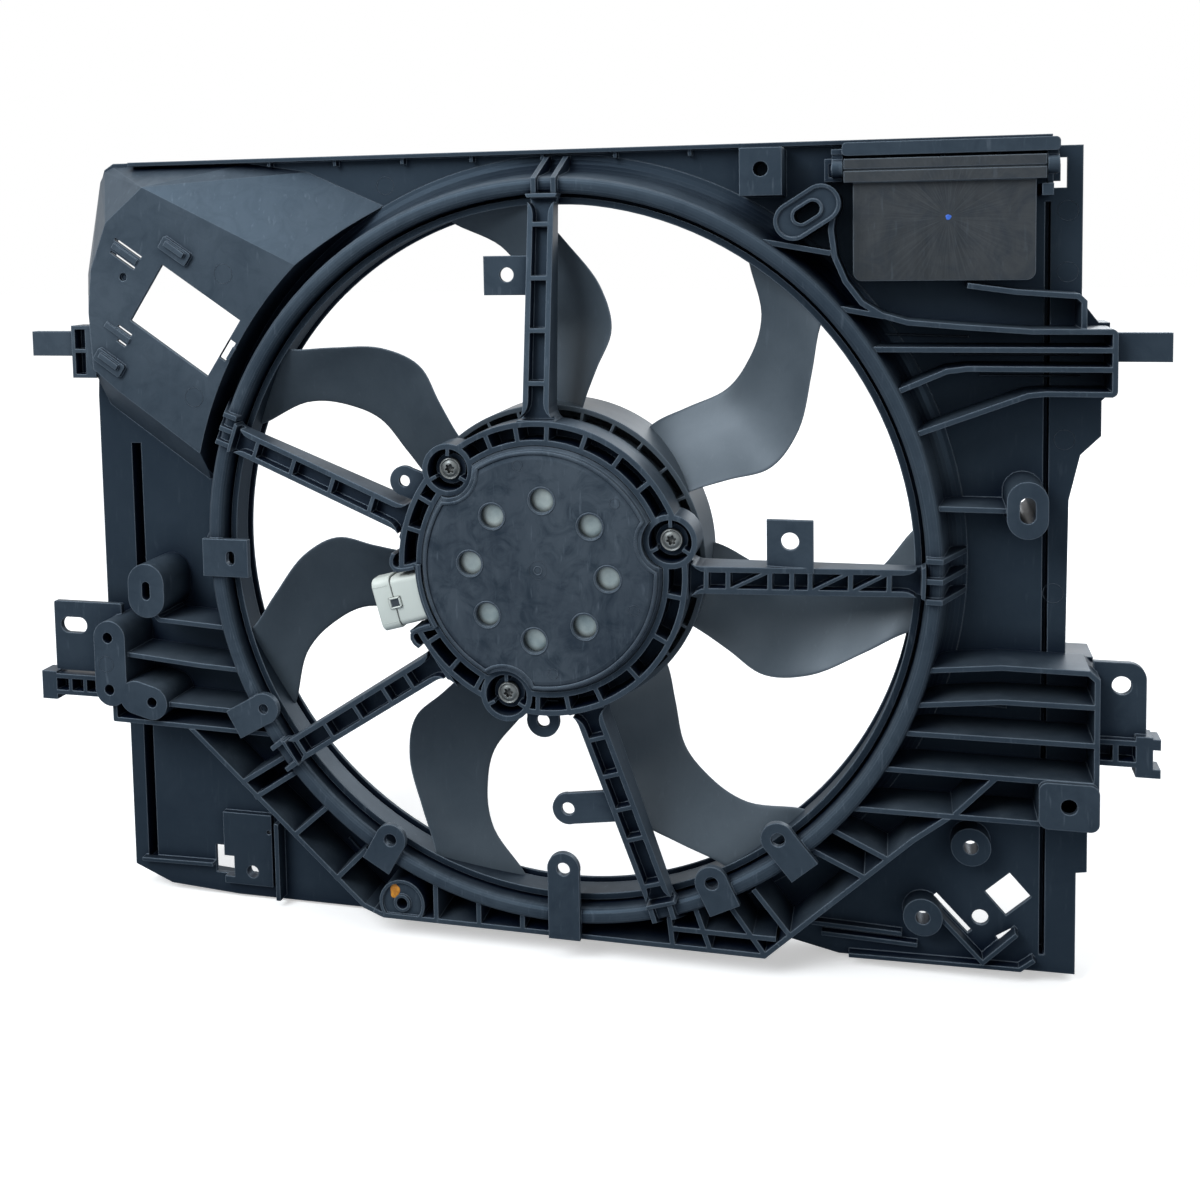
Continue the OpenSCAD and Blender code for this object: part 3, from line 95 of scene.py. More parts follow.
class Graph:
    """A node tree, shader or geometry, with short calls to fill it."""

    def __init__(self, tree: bpy.types.NodeTree) -> None:
        """Keep the tree that is filled."""
        self.tree = tree

    def feed(self, node: Node, name: object, value: object) -> None:
        """Set or join one input of a node.

        Args:
            node: the node.
            name: the input's name or number.
            value: a plain value or another node's output.
        """
        if isinstance(value, Socket):
            self.tree.links.new(value, node.inputs[name])
        else:
            node.inputs[name].default_value = value

    def add(self, kind: str, settings: Optional[dict] = None, *first: object, **inputs: object) -> Node:
        """Add one node and set or join its inputs.

        Args:
            kind: the node's type name.
            settings: attributes of the node, such as its operation.
            *first: values or sockets for its first inputs, in order.
            **inputs: values or sockets by input name, spaces as underscores.

        Returns:
            The new node.
        """
        node = self.tree.nodes.new(kind)
        for name, value in (settings or {}).items():
            setattr(node, name, value)
        for number, value in enumerate(first):
            self.feed(node, number, value)
        for name, value in inputs.items():
            self.feed(node, name.replace("_", " "), value)
        return node

    def math(self, operation: str, a: object, b: object = 0.0, clamp: bool = False) -> Socket:
        """Add a Math node, clamped between 0 and 1 or not, and return its result."""
        return self.add("ShaderNodeMath", {"operation": operation, "use_clamp": clamp}, a, b).outputs[0]

    def times(self, a: object, b: object, clamp: bool = False) -> Socket:
        """Multiply two values or sockets."""
        return self.math("MULTIPLY", a, b, clamp)

    def mix(self, factor: object, a: object, b: object) -> Socket:
        """Add a colour Mix node.

        Args:
            factor: share of the second colour.
            a: first colour or socket.
            b: second colour or socket.

        Returns:
            The mixed colour.
        """
        node = self.add("ShaderNodeMix", {"data_type": "RGBA"})
        for number, value in ((0, factor), (6, rgba(a)), (7, rgba(b))):
            self.feed(node, number, value)
        return node.outputs[2]

    def tint(self, tone: Socket, mask: Socket, share: float, colour: Colour) -> Socket:
        """Lay a share of a colour over a tone where the mask is bright."""
        return self.mix(self.times(mask, share), tone, colour)

    def ramp(self, value: Socket, low: float, high: float, first: float = 0.0, last: float = 1.0) -> Socket:
        """Map low..high to first..last, clamped, with a Map Range node."""
        ends = {"From_Min": low, "From_Max": high, "To_Min": first, "To_Max": last}
        return self.add("ShaderNodeMapRange", Value=value, **ends).outputs[0]

    def here(self) -> Socket:
        """Return the place on the piece, in Object coordinates."""
        return self.add("ShaderNodeTexCoord").outputs["Object"]

    def axes(self) -> Node:
        """Split the place on the piece in its X, Y and Z."""
        return self.add("ShaderNodeSeparateXYZ", Vector=self.here())

    def stretched(self, where: Socket, scale: Spot, turn: float = 0.0) -> Socket:
        """Stretch coordinates and turn them about Y."""
        return self.add("ShaderNodeMapping", Vector=where, Scale=scale, Rotation=(0.0, turn, 0.0)).outputs[0]

    def noise(
        self, where: Socket, scale: object, detail: float, rough: float = 0.5, bend: float = 0.0
    ) -> Socket:
        """Add a Noise Texture node and return its value."""
        values = {"Scale": scale, "Detail": detail, "Roughness": rough, "Distortion": bend}
        return self.add("ShaderNodeTexNoise", Vector=where, **values).outputs[0]


class Look(Graph):
    """A material's tree, with its shader."""

    def __init__(self, paint: bpy.types.Material) -> None:
        """Open the material's tree.

        Args:
            paint: the material.
        """
        paint.use_nodes = True
        super().__init__(paint.node_tree)
        self.shader = paint.node_tree.nodes["Principled BSDF"]

    def show(self, **values: object) -> None:
        """Set or join the shader's inputs by name, spaces as underscores."""
        for name, value in values.items():
            self.feed(self.shader, name.replace("_", " "), value)


@dataclass(frozen=True)
class GroupSocket:
    """One named socket of a node group."""

    name: str
    value: Optional[float] = None
    kind: str = "NodeSocketFloat"


GEOMETRY = GroupSocket("Geometry", kind="NodeSocketGeometry")
MATERIAL = GroupSocket("Material", kind="NodeSocketMaterial")


def floats(*names: str, **values: float) -> tuple[GroupSocket, ...]:
    """Name plain number sockets, some with a value, spaces as underscores."""
    return tuple(GroupSocket(name.replace("_", " "), values.get(name)) for name in (*names, *values))


class SharedTree:
    """A node group that is built once and found again by its title."""

    title = "tree"
    kind = "ShaderNodeTree"
    takes: tuple[GroupSocket, ...] = ()
    gives: tuple[GroupSocket, ...] = ()

    def tree(self) -> bpy.types.NodeTree:
        """Make the group, or find the one made before.

        Returns:
            The group.
        """
        made = bpy.data.node_groups.get(self.title)
        if made:
            return made
        made = bpy.data.node_groups.new(self.title, self.kind)
        for direction, sockets in (("INPUT", self.takes), ("OUTPUT", self.gives)):
            for socket in sockets:
                new = made.interface.new_socket(socket.name, in_out=direction, socket_type=socket.kind)
                if socket.value is not None:
                    new.default_value = socket.value
        self.graph = Graph(made)
        self.source = self.graph.add("NodeGroupInput")
        self.target = self.graph.add("NodeGroupOutput")
        self.fill()
        return made

    def fill(self) -> None:
        """Build what lies between the group's inputs and outputs."""
        raise NotImplementedError

    def take(self, name: str) -> Socket:
        """Return one of the group's inputs."""
        return self.source.outputs[name]

    def give(self, name: str, value: Socket) -> None:
        """Join a result to one of the group's outputs."""
        self.graph.feed(self.target, name, value)


class EffectGroup(SharedTree):
    """A shader effect that several materials share."""

    def place(self, look: Look, **values: object) -> bpy.types.bpy_prop_collection:
        """Put the effect into a material, its inputs by name, and return its outputs."""
        return look.add("ShaderNodeGroup", {"node_tree": self.tree()}, **values).outputs


class RoundedEdges(EffectGroup):
    """Small radii on sharp corners, with a mask of where they are."""

    title = "rounded_edges"
    takes = floats(Radius=0.0008, Gain=7.0)
    gives = (*floats("Mask"), GroupSocket("Normal", kind="NodeSocketVector"))

    def fill(self) -> None:
        """Compare the rounded normal with the flat one."""
        graph = self.graph
        bevel = graph.add("ShaderNodeBevel", {"samples": 4}, Radius=self.take("Radius"))
        flat = graph.add("ShaderNodeNewGeometry")
        normals = bevel.outputs["Normal"], flat.outputs["Normal"]
        dot = graph.add("ShaderNodeVectorMath", {"operation": "DOT_PRODUCT"}, *normals)
        bend = graph.math("SUBTRACT", 1.0, dot.outputs["Value"])
        self.give("Mask", graph.times(bend, self.take("Gain"), clamp=True))
        self.give("Normal", bevel.outputs["Normal"])


class MouldedSkin(EffectGroup):
    """Fine grain, cloudy tone and faint flow lines of moulded plastic."""

    title = "moulded_skin"
    takes = floats(Grain_Scale=900.0, Cloud_Scale=14.0, Flow_Scale=55.0)
    gives = floats("Grain", "Cloud", "Flow")

    def fill(self) -> None:
        """Lay three sizes of noise over each other."""
        graph = self.graph
        where = graph.here()
        grain = graph.noise(where, self.take("Grain Scale"), 2.0, 0.6)
        cloud = graph.noise(where, self.take("Cloud Scale"), 5.0, 0.55, 0.4)
        stretch = graph.stretched(where, (1.0, 1.0, 0.22), 0.5)
        flow = graph.noise(stretch, self.take("Flow Scale"), 4.0, 0.65, 1.4)
        self.give("Grain", grain)
        self.give("Cloud", graph.ramp(cloud, 0.36, 0.66))
        self.give("Flow", graph.ramp(flow, 0.38, 0.68))


class DustAndTopLight(EffectGroup):
    """Pale patches on faces that look up, broken by noise: partly dust, partly painted light from above."""

    title = "settled_dust_and_top_light"
    takes = floats(Scale=30.0)
    gives = floats("Mask")

    def fill(self) -> None:
        """Weigh the upward part of the normal with noise."""
        graph = self.graph
        source = graph.add("ShaderNodeTexCoord")
        split = graph.add("ShaderNodeSeparateXYZ", Vector=source.outputs["Normal"])
        up = graph.ramp(split.outputs["Z"], 0.2, 0.95)
        patch = graph.noise(source.outputs["Object"], self.take("Scale"), 6.0, 0.6)
        self.give("Mask", graph.times(up, graph.ramp(patch, 0.35, 0.7), clamp=True))


class CavityShade(EffectGroup):
    """How far a place lies in a pocket, from open to deep."""

    title = "cavity_shade"
    takes = floats(Distance=0.02)
    gives = floats("Depth")

    def fill(self) -> None:
        """Turn nearby walls into a share of shade."""
        near = self.graph.add("ShaderNodeAmbientOcclusion", {"samples": 4}, Distance=self.take("Distance"))
        self.give("Depth", self.graph.ramp(near.outputs["AO"], 0.35, 0.95, 1.0, 0.0))


# Its share is used to paint shade on places that lie behind the front.
class SetBack(EffectGroup):
    """How far a place lies behind the front of the shroud."""

    title = "set_back"
    takes = floats(Front=0.062, Back=0.027)
    gives = floats("Share")

    def fill(self) -> None:
        """Measure the height above the radiator between two levels."""
        graph = self.graph
        height = graph.times(graph.axes().outputs["Y"], -1.0)
        span = graph.math("SUBTRACT", self.take("Front"), self.take("Back"))
        below = graph.math("SUBTRACT", self.take("Front"), height)
        self.give("Share", graph.math("DIVIDE", below, span, clamp=True))


class Scuffs(EffectGroup):
    """Thin rubbed lines and smudges from handling."""

    title = "handling_scuffs"
    takes = floats(Scale=60.0)
    gives = floats("Lines", "Smudges")

    def fill(self) -> None:
        """Cross three stretched noises and add blots."""
        graph = self.graph
        where = graph.here()
        lines = []
        for turn, squeeze in ((0.5, 0.16), (1.35, 0.2), (-0.7, 0.14)):
            laid = graph.stretched(where, (1.0, 1.0, squeeze), turn)
            streak = graph.noise(laid, graph.times(self.take("Scale"), 5.0), 3.0)
            lines.append(graph.ramp(streak, 0.66, 0.78))
        self.give("Lines", graph.math("MAXIMUM", graph.math("MAXIMUM", *lines[:2]), lines[2]))
        blot = graph.noise(where, self.take("Scale"), 7.0, 0.68, 1.2)
        self.give("Smudges", graph.ramp(blot, 0.45, 0.66))


EDGES = RoundedEdges()
SETBACK = SetBack()
SCUFFS = Scuffs()
CAVITY = CavityShade()
SKIN = MouldedSkin()
DUST_AND_TOP_LIGHT = DustAndTopLight()


@dataclass(frozen=True)
class Finish:
    """A material that is made once and put on pieces."""

    name: str
    slot: Optional[str] = ""

    def material(self) -> bpy.types.Material:
        """Make the material, or find the one made before.

        Returns:
            The material.
        """
        title = f"{self.name}_look"
        made = bpy.data.materials.get(title)
        if not made:
            made = bpy.data.materials.new(title)
            self.dress(Look(made))
        return made

    def dress(self, look: Look) -> None:
        """Fill in the shader's inputs."""
        raise NotImplementedError

    def wear(self, piece: Piece) -> None:
        """Put the finish on every face of a piece."""
        piece.data.materials.clear()
        piece.data.materials.append(self.material())


@dataclass(frozen=True)
class MouldedPlastic(Finish):
    """Satin moulded plastic with painted highlights on its rounded edges."""

    base: Colour = (0.031, 0.044, 0.06)
    cloudy: Colour = (0.048, 0.065, 0.084)
    # edge: painted highlight colour for rounded edges; also laid on upward faces and along scuff lines.
    edge: Colour = (0.2, 0.245, 0.295)
    # far: painted shade colour for places set back from the front; also the colour of smudges.
    far: Colour = (0.0135, 0.0215, 0.032)
    # deep: painted shade colour for recesses.
    deep: Colour = (0.0006, 0.0024, 0.0095)
    setback_shade_share: float = 0.75
    scuff_share: float = 0.22
    smudge_share: float = 0.3
    edge_highlight_share: float = 0.8
    flow_share: float = 0.35
    dust_and_top_light_share: float = 0.25
    cavity_mm: float = 16.0
    radius_mm: float = 1.0
    grain_mm: float = 0.03
    grain_strength: float = 0.6
    roughness: float = 0.42
    roughness_swing: float = 0.06
    specular: float = 0.24
    sheen_tint: Colour = (0.5, 0.74, 1.0)

    def dress(self, look: Look) -> None:
        """Build tone, painted edge highlights, painted shade, dust with painted top light, and grain.

        Args:
            look: the material's graph.
        """
        edges = EDGES.place(look, Radius=self.radius_mm * MM)
        skin = SKIN.place(look)
        dust_and_top_light = DUST_AND_TOP_LIGHT.place(look)
        tone = look.mix(skin["Cloud"], self.base, self.cloudy)
        tone = look.tint(tone, skin["Flow"], self.flow_share, self.cloudy)
        # Upward faces get paler: partly dust, partly painted light from above.
        tone = look.tint(tone, dust_and_top_light["Mask"], self.dust_and_top_light_share, self.edge)
        scuffs = SCUFFS.place(look)
        tone = look.tint(tone, scuffs["Smudges"], self.smudge_share, self.far)
        tone = look.tint(tone, scuffs["Lines"], self.scuff_share, self.edge)
        # Painted shade: darker the further a place lies behind the front of the shroud.
        if self.setback_shade_share:
            tone = look.tint(tone, SETBACK.place(look)["Share"], self.setback_shade_share, self.far)
        # Painted shade in recesses, from walls nearby.
        if self.cavity_mm:
            cavity = CAVITY.place(look, Distance=self.cavity_mm * MM)
            tone = look.mix(cavity["Depth"], tone, self.deep)
        # Painted highlight: the edge colour laid along rounded edges.
        tone = look.tint(tone, edges["Mask"], self.edge_highlight_share, self.edge)
        smooth, rough = self.roughness - self.roughness_swing, self.roughness + self.roughness_swing
        satin = look.ramp(skin["Cloud"], 0.0, 1.0, smooth, rough)
        grain = {"Height": skin["Grain"], "Distance": self.grain_mm * MM, "Strength": self.grain_strength}
        bump = look.add("ShaderNodeBump", Normal=edges["Normal"], **grain)
        look.show(Base_Color=tone, Roughness=satin, Normal=bump.outputs[0])
        look.show(Specular_Tint=rgba(self.sheen_tint), Specular_IOR_Level=self.specular)


@dataclass(frozen=True)
class PlatedMetal(Finish):
    """Rolled, turned or plated metal with soft scratches."""

    base: Colour = (0.5, 0.5, 0.5)
    stained: Colour = (0.35, 0.36, 0.36)
    # Painted highlight colour for rounded edges.
    edge_highlight_tone: Colour = (0.8, 0.8, 0.8)
    # hollow: painted shade colour for recesses.
    hollow: Colour = (0.01, 0.01, 0.012)
    edge_highlight_amount: float = 0.4
    roughness: float = 0.35
    metallic: float = 1.0
    radius_mm: float = 0.3
    stain_scale: float = 45.0
    scratch_scale: float = 260.0
    scratch_mm: float = 0.02
    cavity_mm: float = 0.0

    def dress(self, look: Look) -> None:
        """Build stains, scratches, painted highlights on rounded edges and painted shade in recesses.

        Args:
            look: the material's graph.
        """
        edges = EDGES.place(look, Radius=self.radius_mm * MM)
        where = look.here()
        stain = look.noise(where, self.stain_scale, 5.0, 0.6)
        scratch = look.noise(look.stretched(where, (1.0, 0.06, 1.0)), self.scratch_scale, 3.0)
        tone = look.mix(look.ramp(stain, 0.35, 0.7), self.base, self.stained)
        # Painted highlight along rounded edges.
        tone = look.tint(tone, edges["Mask"], self.edge_highlight_amount, self.edge_highlight_tone)
        # Painted shade in recesses.
        if self.cavity_mm:
            cavity = CAVITY.place(look, Distance=self.cavity_mm * MM)
            tone = look.mix(cavity["Depth"], tone, self.hollow)
        sheen = look.ramp(scratch, 0.3, 0.7, self.roughness - 0.08, self.roughness + 0.1)
        depth = {"Height": scratch, "Distance": self.scratch_mm * MM, "Strength": 0.5}
        bump = look.add("ShaderNodeBump", Normal=edges["Normal"], **depth)
        look.show(Base_Color=tone, Roughness=sheen, Metallic=self.metallic, Normal=bump.outputs[0])


@dataclass(frozen=True)
class GatedPlastic(MouldedPlastic):
    """Moulded plastic whose flow lines spread from one gate."""

    gate_mm: Point = (227.7, 198.0)
    spokes: float = 15.0
    rings: float = 18.0
    fade_mm: float = 55.0
    ray_share: float = 0.75
    ray_tone: Colour = (0.085, 0.092, 0.1)

    def dress(self, look: Look) -> None:
        """Add rays round the gate to the plain moulded skin.

        Args:
            look: the material's graph.
        """
        super().dress(look)
        plain = look.shader.inputs["Base Color"].links[0].from_socket
        where = look.axes()
        across = look.math("SUBTRACT", where.outputs["X"], self.gate_mm[0] * MM)
        upward = look.math("SUBTRACT", where.outputs["Z"], self.gate_mm[1] * MM)
        bearing = look.math("ARCTAN2", upward, across)
        reach = look.math("SQRT", look.math("ADD", look.times(across, across), look.times(upward, upward)))
        spread = {"X": look.times(bearing, self.spokes), "Y": look.times(reach, self.rings)}
        ray = look.add("ShaderNodeCombineXYZ", **spread)
        streak = look.noise(ray.outputs[0], 1.6, 6.0, 0.7)
        near = look.ramp(reach, 0.0, self.fade_mm * MM, self.ray_share, 0.0)
        share = look.times(look.ramp(streak, 0.46, 0.74), near, clamp=True)
        look.show(Base_Color=look.mix(share, plain, self.ray_tone))


@dataclass(frozen=True)
class MarkerPaint(Finish):
    """A dab of inspection paint, thin at its rim, that has no slot."""

    slot: Optional[str] = None
    base: Colour = (0.75, 0.32, 0.03)
    thin: Colour = (0.5, 0.18, 0.02)

    def dress(self, look: Look) -> None:
        """Let the tone vary in fine smears of noise."""
        smear = look.ramp(look.noise(look.here(), 420.0, 4.0, 0.6), 0.4, 0.65)
        look.show(Base_Color=look.mix(smear, self.base, self.thin), Roughness=0.45)


SHROUD = MouldedPlastic("shroud_plastic")
POCKET = MouldedPlastic(
    "pocket_plastic", base=(0.044, 0.06, 0.078), cloudy=(0.064, 0.083, 0.104), setback_shade_share=0.3
)
BLADE = MouldedPlastic(
    "blade_plastic", base=(0.046, 0.062, 0.078), cloudy=(0.06, 0.078, 0.096), roughness=0.4,
    specular=0.4, cavity_mm=0.0, dust_and_top_light_share=0.1, sheen_tint=(0.8, 0.9, 1.0), setback_shade_share=0.0, smudge_share=0.12,
    scuff_share=0.08,
)
BAND = MouldedPlastic(
    "band_plastic", base=(0.012, 0.018, 0.026), cloudy=(0.018, 0.026, 0.036), cavity_mm=6.0, setback_shade_share=0.5
)
COVER_SKIN = MouldedPlastic(
    "cover_plastic", base=(0.032, 0.042, 0.056), cloudy=(0.062, 0.078, 0.096), flow_share=0.8, roughness=0.46,
    cavity_mm=4.0, smudge_share=0.7, scuff_share=0.25,
)
FLAP_SKIN = GatedPlastic(
    "flap_plastic", base=(0.026, 0.03, 0.034), cloudy=(0.048, 0.053, 0.058), flow_share=0.8, roughness=0.5,
    cavity_mm=0.0, sheen_tint=(0.85, 0.93, 1.0), setback_shade_share=0.0, smudge_share=0.5, scuff_share=0.1,
)
WHITE_PLASTIC = MouldedPlastic(
    "connector_plastic", "connector_white", base=(0.6, 0.65, 0.61), cloudy=(0.66, 0.71, 0.67),
    edge=(0.82, 0.86, 0.82), deep=(0.06, 0.065, 0.065), grain_mm=0.01, roughness=0.35, radius_mm=0.5,
    cavity_mm=0.9, sheen_tint=WHITE, setback_shade_share=0.0, smudge_share=0.0, scuff_share=0.0,
)
# Dark plastic for a slab that stands where the latch's opening is: painted shade in place of a hole.
LATCH_OPENING_SHADE = MouldedPlastic(
    "latch_opening_shade", "connector_white", base=(0.06, 0.068, 0.075), cloudy=(0.08, 0.09, 0.1), cavity_mm=0.0,
    setback_shade_share=0.0,
)
ZINC = PlatedMetal(
    "zinc_plate", base=(0.6, 0.67, 0.64), stained=(0.26, 0.34, 0.36), roughness=0.36, metallic=0.6,
    cavity_mm=3.0,
)
STEEL = PlatedMetal("bright_steel", base=(0.6, 0.6, 0.61), stained=(0.5, 0.5, 0.5), roughness=0.28)
CAN_STEEL = PlatedMetal("motor_steel", base=(0.42, 0.44, 0.45), stained=(0.32, 0.34, 0.34), roughness=0.42)
CORE_STEEL = PlatedMetal("core_steel", base=(0.25, 0.25, 0.26), stained=(0.18, 0.18, 0.18), roughness=0.5)
FERRITE = PlatedMetal(
    "ferrite", base=(0.05, 0.05, 0.055), stained=(0.03, 0.03, 0.03), roughness=0.7, metallic=0.0
)
COPPER = PlatedMetal("copper", base=(0.75, 0.34, 0.16), stained=(0.55, 0.22, 0.09))
TERMINAL = PlatedMetal("terminal_brass", base=(0.75, 0.6, 0.3), stained=(0.6, 0.48, 0.24), roughness=0.3)
BRONZE_STEEL = PlatedMetal(
    "screw_steel", base=(0.24, 0.26, 0.26), stained=(0.1, 0.11, 0.11), roughness=0.45,
    metallic=0.6, cavity_mm=2.6,
)
CARBON = MouldedPlastic(
    "carbon", base=(0.02, 0.02, 0.02), cloudy=(0.03, 0.03, 0.03), roughness=0.7, setback_shade_share=0.0, cavity_mm=0.0
)
CARD = MouldedPlastic(
    "card", base=(0.25, 0.15, 0.07), cloudy=(0.3, 0.19, 0.1), edge=(0.4, 0.28, 0.15), roughness=0.6,
    setback_shade_share=0.0, cavity_mm=0.0,
)
SEAL = MouldedPlastic(
    "seal_rubber", base=(0.3, 0.09, 0.05), cloudy=(0.34, 0.11, 0.06), edge=(0.4, 0.15, 0.09),
    roughness=0.6, setback_shade_share=0.0, cavity_mm=0.0,
)

NODE_FINISHES: dict[Finish, str] = {
    SHROUD: (
        "shroud_panel fan_ring motor_carrier carrier_arms upper_right_box flap_frame lower_right_box "
        "lower_left_box bottom_truss left_truss right_truss"
    ),
    POCKET: "controller_pocket",
    FLAP_SKIN: "air_flap",
    BLADE: "fan_hub fan_blades",
    BAND: "fan_band",
    STEEL: "hub_nut motor_shaft front_bearing rear_bearing brush_springs screw_sleeves",
    CORE_STEEL: "armature_core",
    COPPER: "armature_windings commutator",
    CAN_STEEL: "motor_can",
    FERRITE: "magnets",
    CARD: "brush_card",
    CARBON: "brushes",
    ZINC: "end_plate",
    COVER_SKIN: "motor_cover",
    BRONZE_STEEL: "motor_screws",
    WHITE_PLASTIC: "connector_housing",
    TERMINAL: "connector_terminals",
    SEAL: "connector_seal",
}


@dataclass(frozen=True)
class MeshData:
    """Corners and faces of one closed shell."""

    points: list[Spot]
    faces: list[tuple[int, ...]]


def place(across: float, upward: float, height: float) -> Spot:
    """Turn millimetres on the drawing, and above the radiator, into metres in the frame."""
    return across * MM, -height * MM, upward * MM


def loft(loops: Sequence[Sequence[Spot]], closed: bool = False) -> MeshData:
    """Skin equal loops in order and close the two ends, or join them.

    Args:
        loops: loops with the same number of points.
        closed: whether the last loop joins the first.

    Returns:
        The shell.
    """
    count = len(loops[0])
    points = [point for loop in loops for point in loop]
    faces: list[tuple[int, ...]] = []
    for row in range(len(loops) if closed else len(loops) - 1):
        low, high = row * count, (row + 1) % len(loops) * count
        for step in range(count):
            after = (step + 1) % count
            faces.append((low + step, low + after, high + after, high + step))
    if not closed:
        faces.append(tuple(range(count - 1, -1, -1)))
        faces.append(tuple(range(len(points) - count, len(points))))
    return MeshData(points, faces)


def swung(x: float, z: float, angle: float) -> Point:
    """Turn a place on the drawing round the fan axis, by an angle in radians."""
    return x * math.cos(angle) - z * math.sin(angle), x * math.sin(angle) + z * math.cos(angle)


def arc(radius: float, start: float, end: float, steps: int) -> list[Point]:
    """Return places along an arc round the fan axis, angles in degrees."""
    turns = [math.radians(start + (end - start) * i / steps) for i in range(steps + 1)]
    return [swung(radius, 0.0, angle) for angle in turns]


def ribbon(path: Sequence[Point], profile: Sequence[Point], closed: bool = False) -> MeshData:
    """Run a small section along a path on the drawing.

    Args:
        path: places in millimetres, in order.
        profile: the section's corners as (sideways, height) in millimetres.
        closed: whether the path comes back to its start.

    Returns:
        The closed shell.
    """
    loops, last = [], len(path) - 1
    for i, (x, z) in enumerate(path):
        before = path[i - 1 if closed else max(i - 1, 0)]
        after = path[(i + 1) % len(path) if closed else min(i + 1, last)]
        along = Vector((after[0] - before[0], after[1] - before[1])).normalized()
        loops.append([place(x - along.y * side, z + along.x * side, height) for side, height in profile])
    return loft(loops, closed)


def linked(name: str, data: bpy.types.ID) -> Piece:
    """Add an object with this data to the scene.

    Args:
        name: the object's name.
        data: its mesh, lamp or camera.

    Returns:
        The object.
    """
    made = bpy.data.objects.new(name, data)
    bpy.context.scene.collection.objects.link(made)
    return made


def bare(name: str, points: Sequence[Spot], edges: Sequence = (), faces: Sequence = ()) -> Piece:
    """Add an object with a plain mesh to the scene.

    Args:
        name: the object's name.
        points: the mesh's corners.
        edges: pairs of corners.
        faces: loops of corners.

    Returns:
        The object.
    """
    mesh = bpy.data.meshes.new(name)
    mesh.from_pydata(points, edges, faces)
    return linked(name, mesh)


@dataclass
class Maker:
    """What every sub-assembly shares: meshes that ride on a body in a finish."""

    body: Body = Body.SHROUD

    def shell(self, name: str, data: MeshData, smooth_angle: float = 40.0) -> Piece:
        """Make one object from a shell, faces outward.

        Args:
            name: the piece's name.
            data: its corners and faces.
            smooth_angle: largest angle between faces that shade smoothly.

        Returns:
            The object, linked to the scene.
        """
        piece = bare(name, data.points, (), data.faces)
        work = bmesh.new()
        work.from_mesh(piece.data)
        bmesh.ops.recalc_face_normals(work, faces=work.faces)
        work.to_mesh(piece.data)
        work.free()
        piece.data.shade_smooth()
        piece.data.set_sharp_from_angle(angle=math.radians(smooth_angle))
        return piece

    def settle(self, piece: Piece, finish: Finish, *replaced: str) -> None:
        """Dress a piece and let it ride.

        Args:
            piece: the finished mesh object.
            finish: what it wears.
            *replaced: CAD nodes that it stands for.
        """
        finish.wear(piece)
        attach(piece, self.body.value)
        if replaced:
            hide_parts(*replaced)
        LOG.info("made %s with %d faces", piece.name, len(piece.data.polygons))


class RepeatTree(SharedTree):
    """A Geometry Nodes tree with named inputs, run once and turned into a mesh."""

    kind = "GeometryNodeTree"
    gives = (GEOMETRY,)

    def fill(self) -> None:
        """Grow the shape, make its copies real and paint them."""
        real = self.graph.add("GeometryNodeRealizeInstances", Geometry=self.grow())
        paint = {"Geometry": real.outputs[0], "Material": self.take("Material")}
        self.give("Geometry", self.graph.add("GeometryNodeSetMaterial", **paint).outputs[0])

    def grow(self) -> Socket:
        """Build the repeated shape and return its geometry."""
        raise NotImplementedError

    def swept(self, path: Node, profile: Node, capped: bool = True) -> Socket:
        """Sweep a profile curve along a path and return the mesh."""
        ends = {"Curve": path.outputs[0], "Profile_Curve": profile.outputs[0], "Fill_Caps": capped}
        return self.graph.add("GeometryNodeCurveToMesh", **ends).outputs[0]

    def turned(self, shape: Socket) -> Socket:
        """Copy a shape round the fan axis at even steps.

        Args:
            shape: the geometry that is copied.

        Returns:
            The copies, as many as Count says, the first one turned by Start.
        """
        graph = self.graph
        dots = graph.add("GeometryNodePoints", Count=self.take("Count"))
        step = graph.math("DIVIDE", math.tau, self.take("Count"))
        index = graph.add("GeometryNodeInputIndex").outputs[0]
        angle = graph.math("ADD", graph.times(index, step), self.take("Start"))
        turn = graph.add("ShaderNodeCombineXYZ", Y=graph.times(angle, -1.0))
        spots = {"Points": dots.outputs[0], "Instance": shape, "Rotation": turn.outputs[0]}
        return graph.add("GeometryNodeInstanceOnPoints", **spots).outputs[0]

    def run(self, seed: Piece, finish: Finish, **values: float) -> Piece:
        """Grow the tree on a seed object and keep the result as a plain mesh.

        Args:
            seed: the object that carries the modifier; it is used up.
            finish: the finish set by the tree.
            **values: inputs by name.

        Returns:
            A new object with the seed's name.
        """
        modifier = seed.modifiers.new("grow", "NODES")
        modifier.node_group = self.tree()
        for item in modifier.node_group.interface.items_tree:
            if item.in_out == "INPUT" and item.name in values:
                modifier[item.identifier] = values[item.name]
            elif item.in_out == "INPUT" and item.name == MATERIAL.name:
                modifier[item.identifier] = finish.material()
        graph = bpy.context.evaluated_depsgraph_get()
        mesh = bpy.data.meshes.new_from_object(seed.evaluated_get(graph))
        name = seed.name
        bpy.data.objects.remove(seed)
        return linked(name, mesh)


class WheelTree(RepeatTree):
    """Copies of the seed turned round the fan axis at even steps."""

    title = "wheel_of_copies"
    takes = (GEOMETRY, GroupSocket("Count", 3, "NodeSocketInt"), *floats(Start=0.0), MATERIAL)

    def grow(self) -> Socket:
        """Turn one copy for each point."""
        return self.turned(self.take("Geometry"))


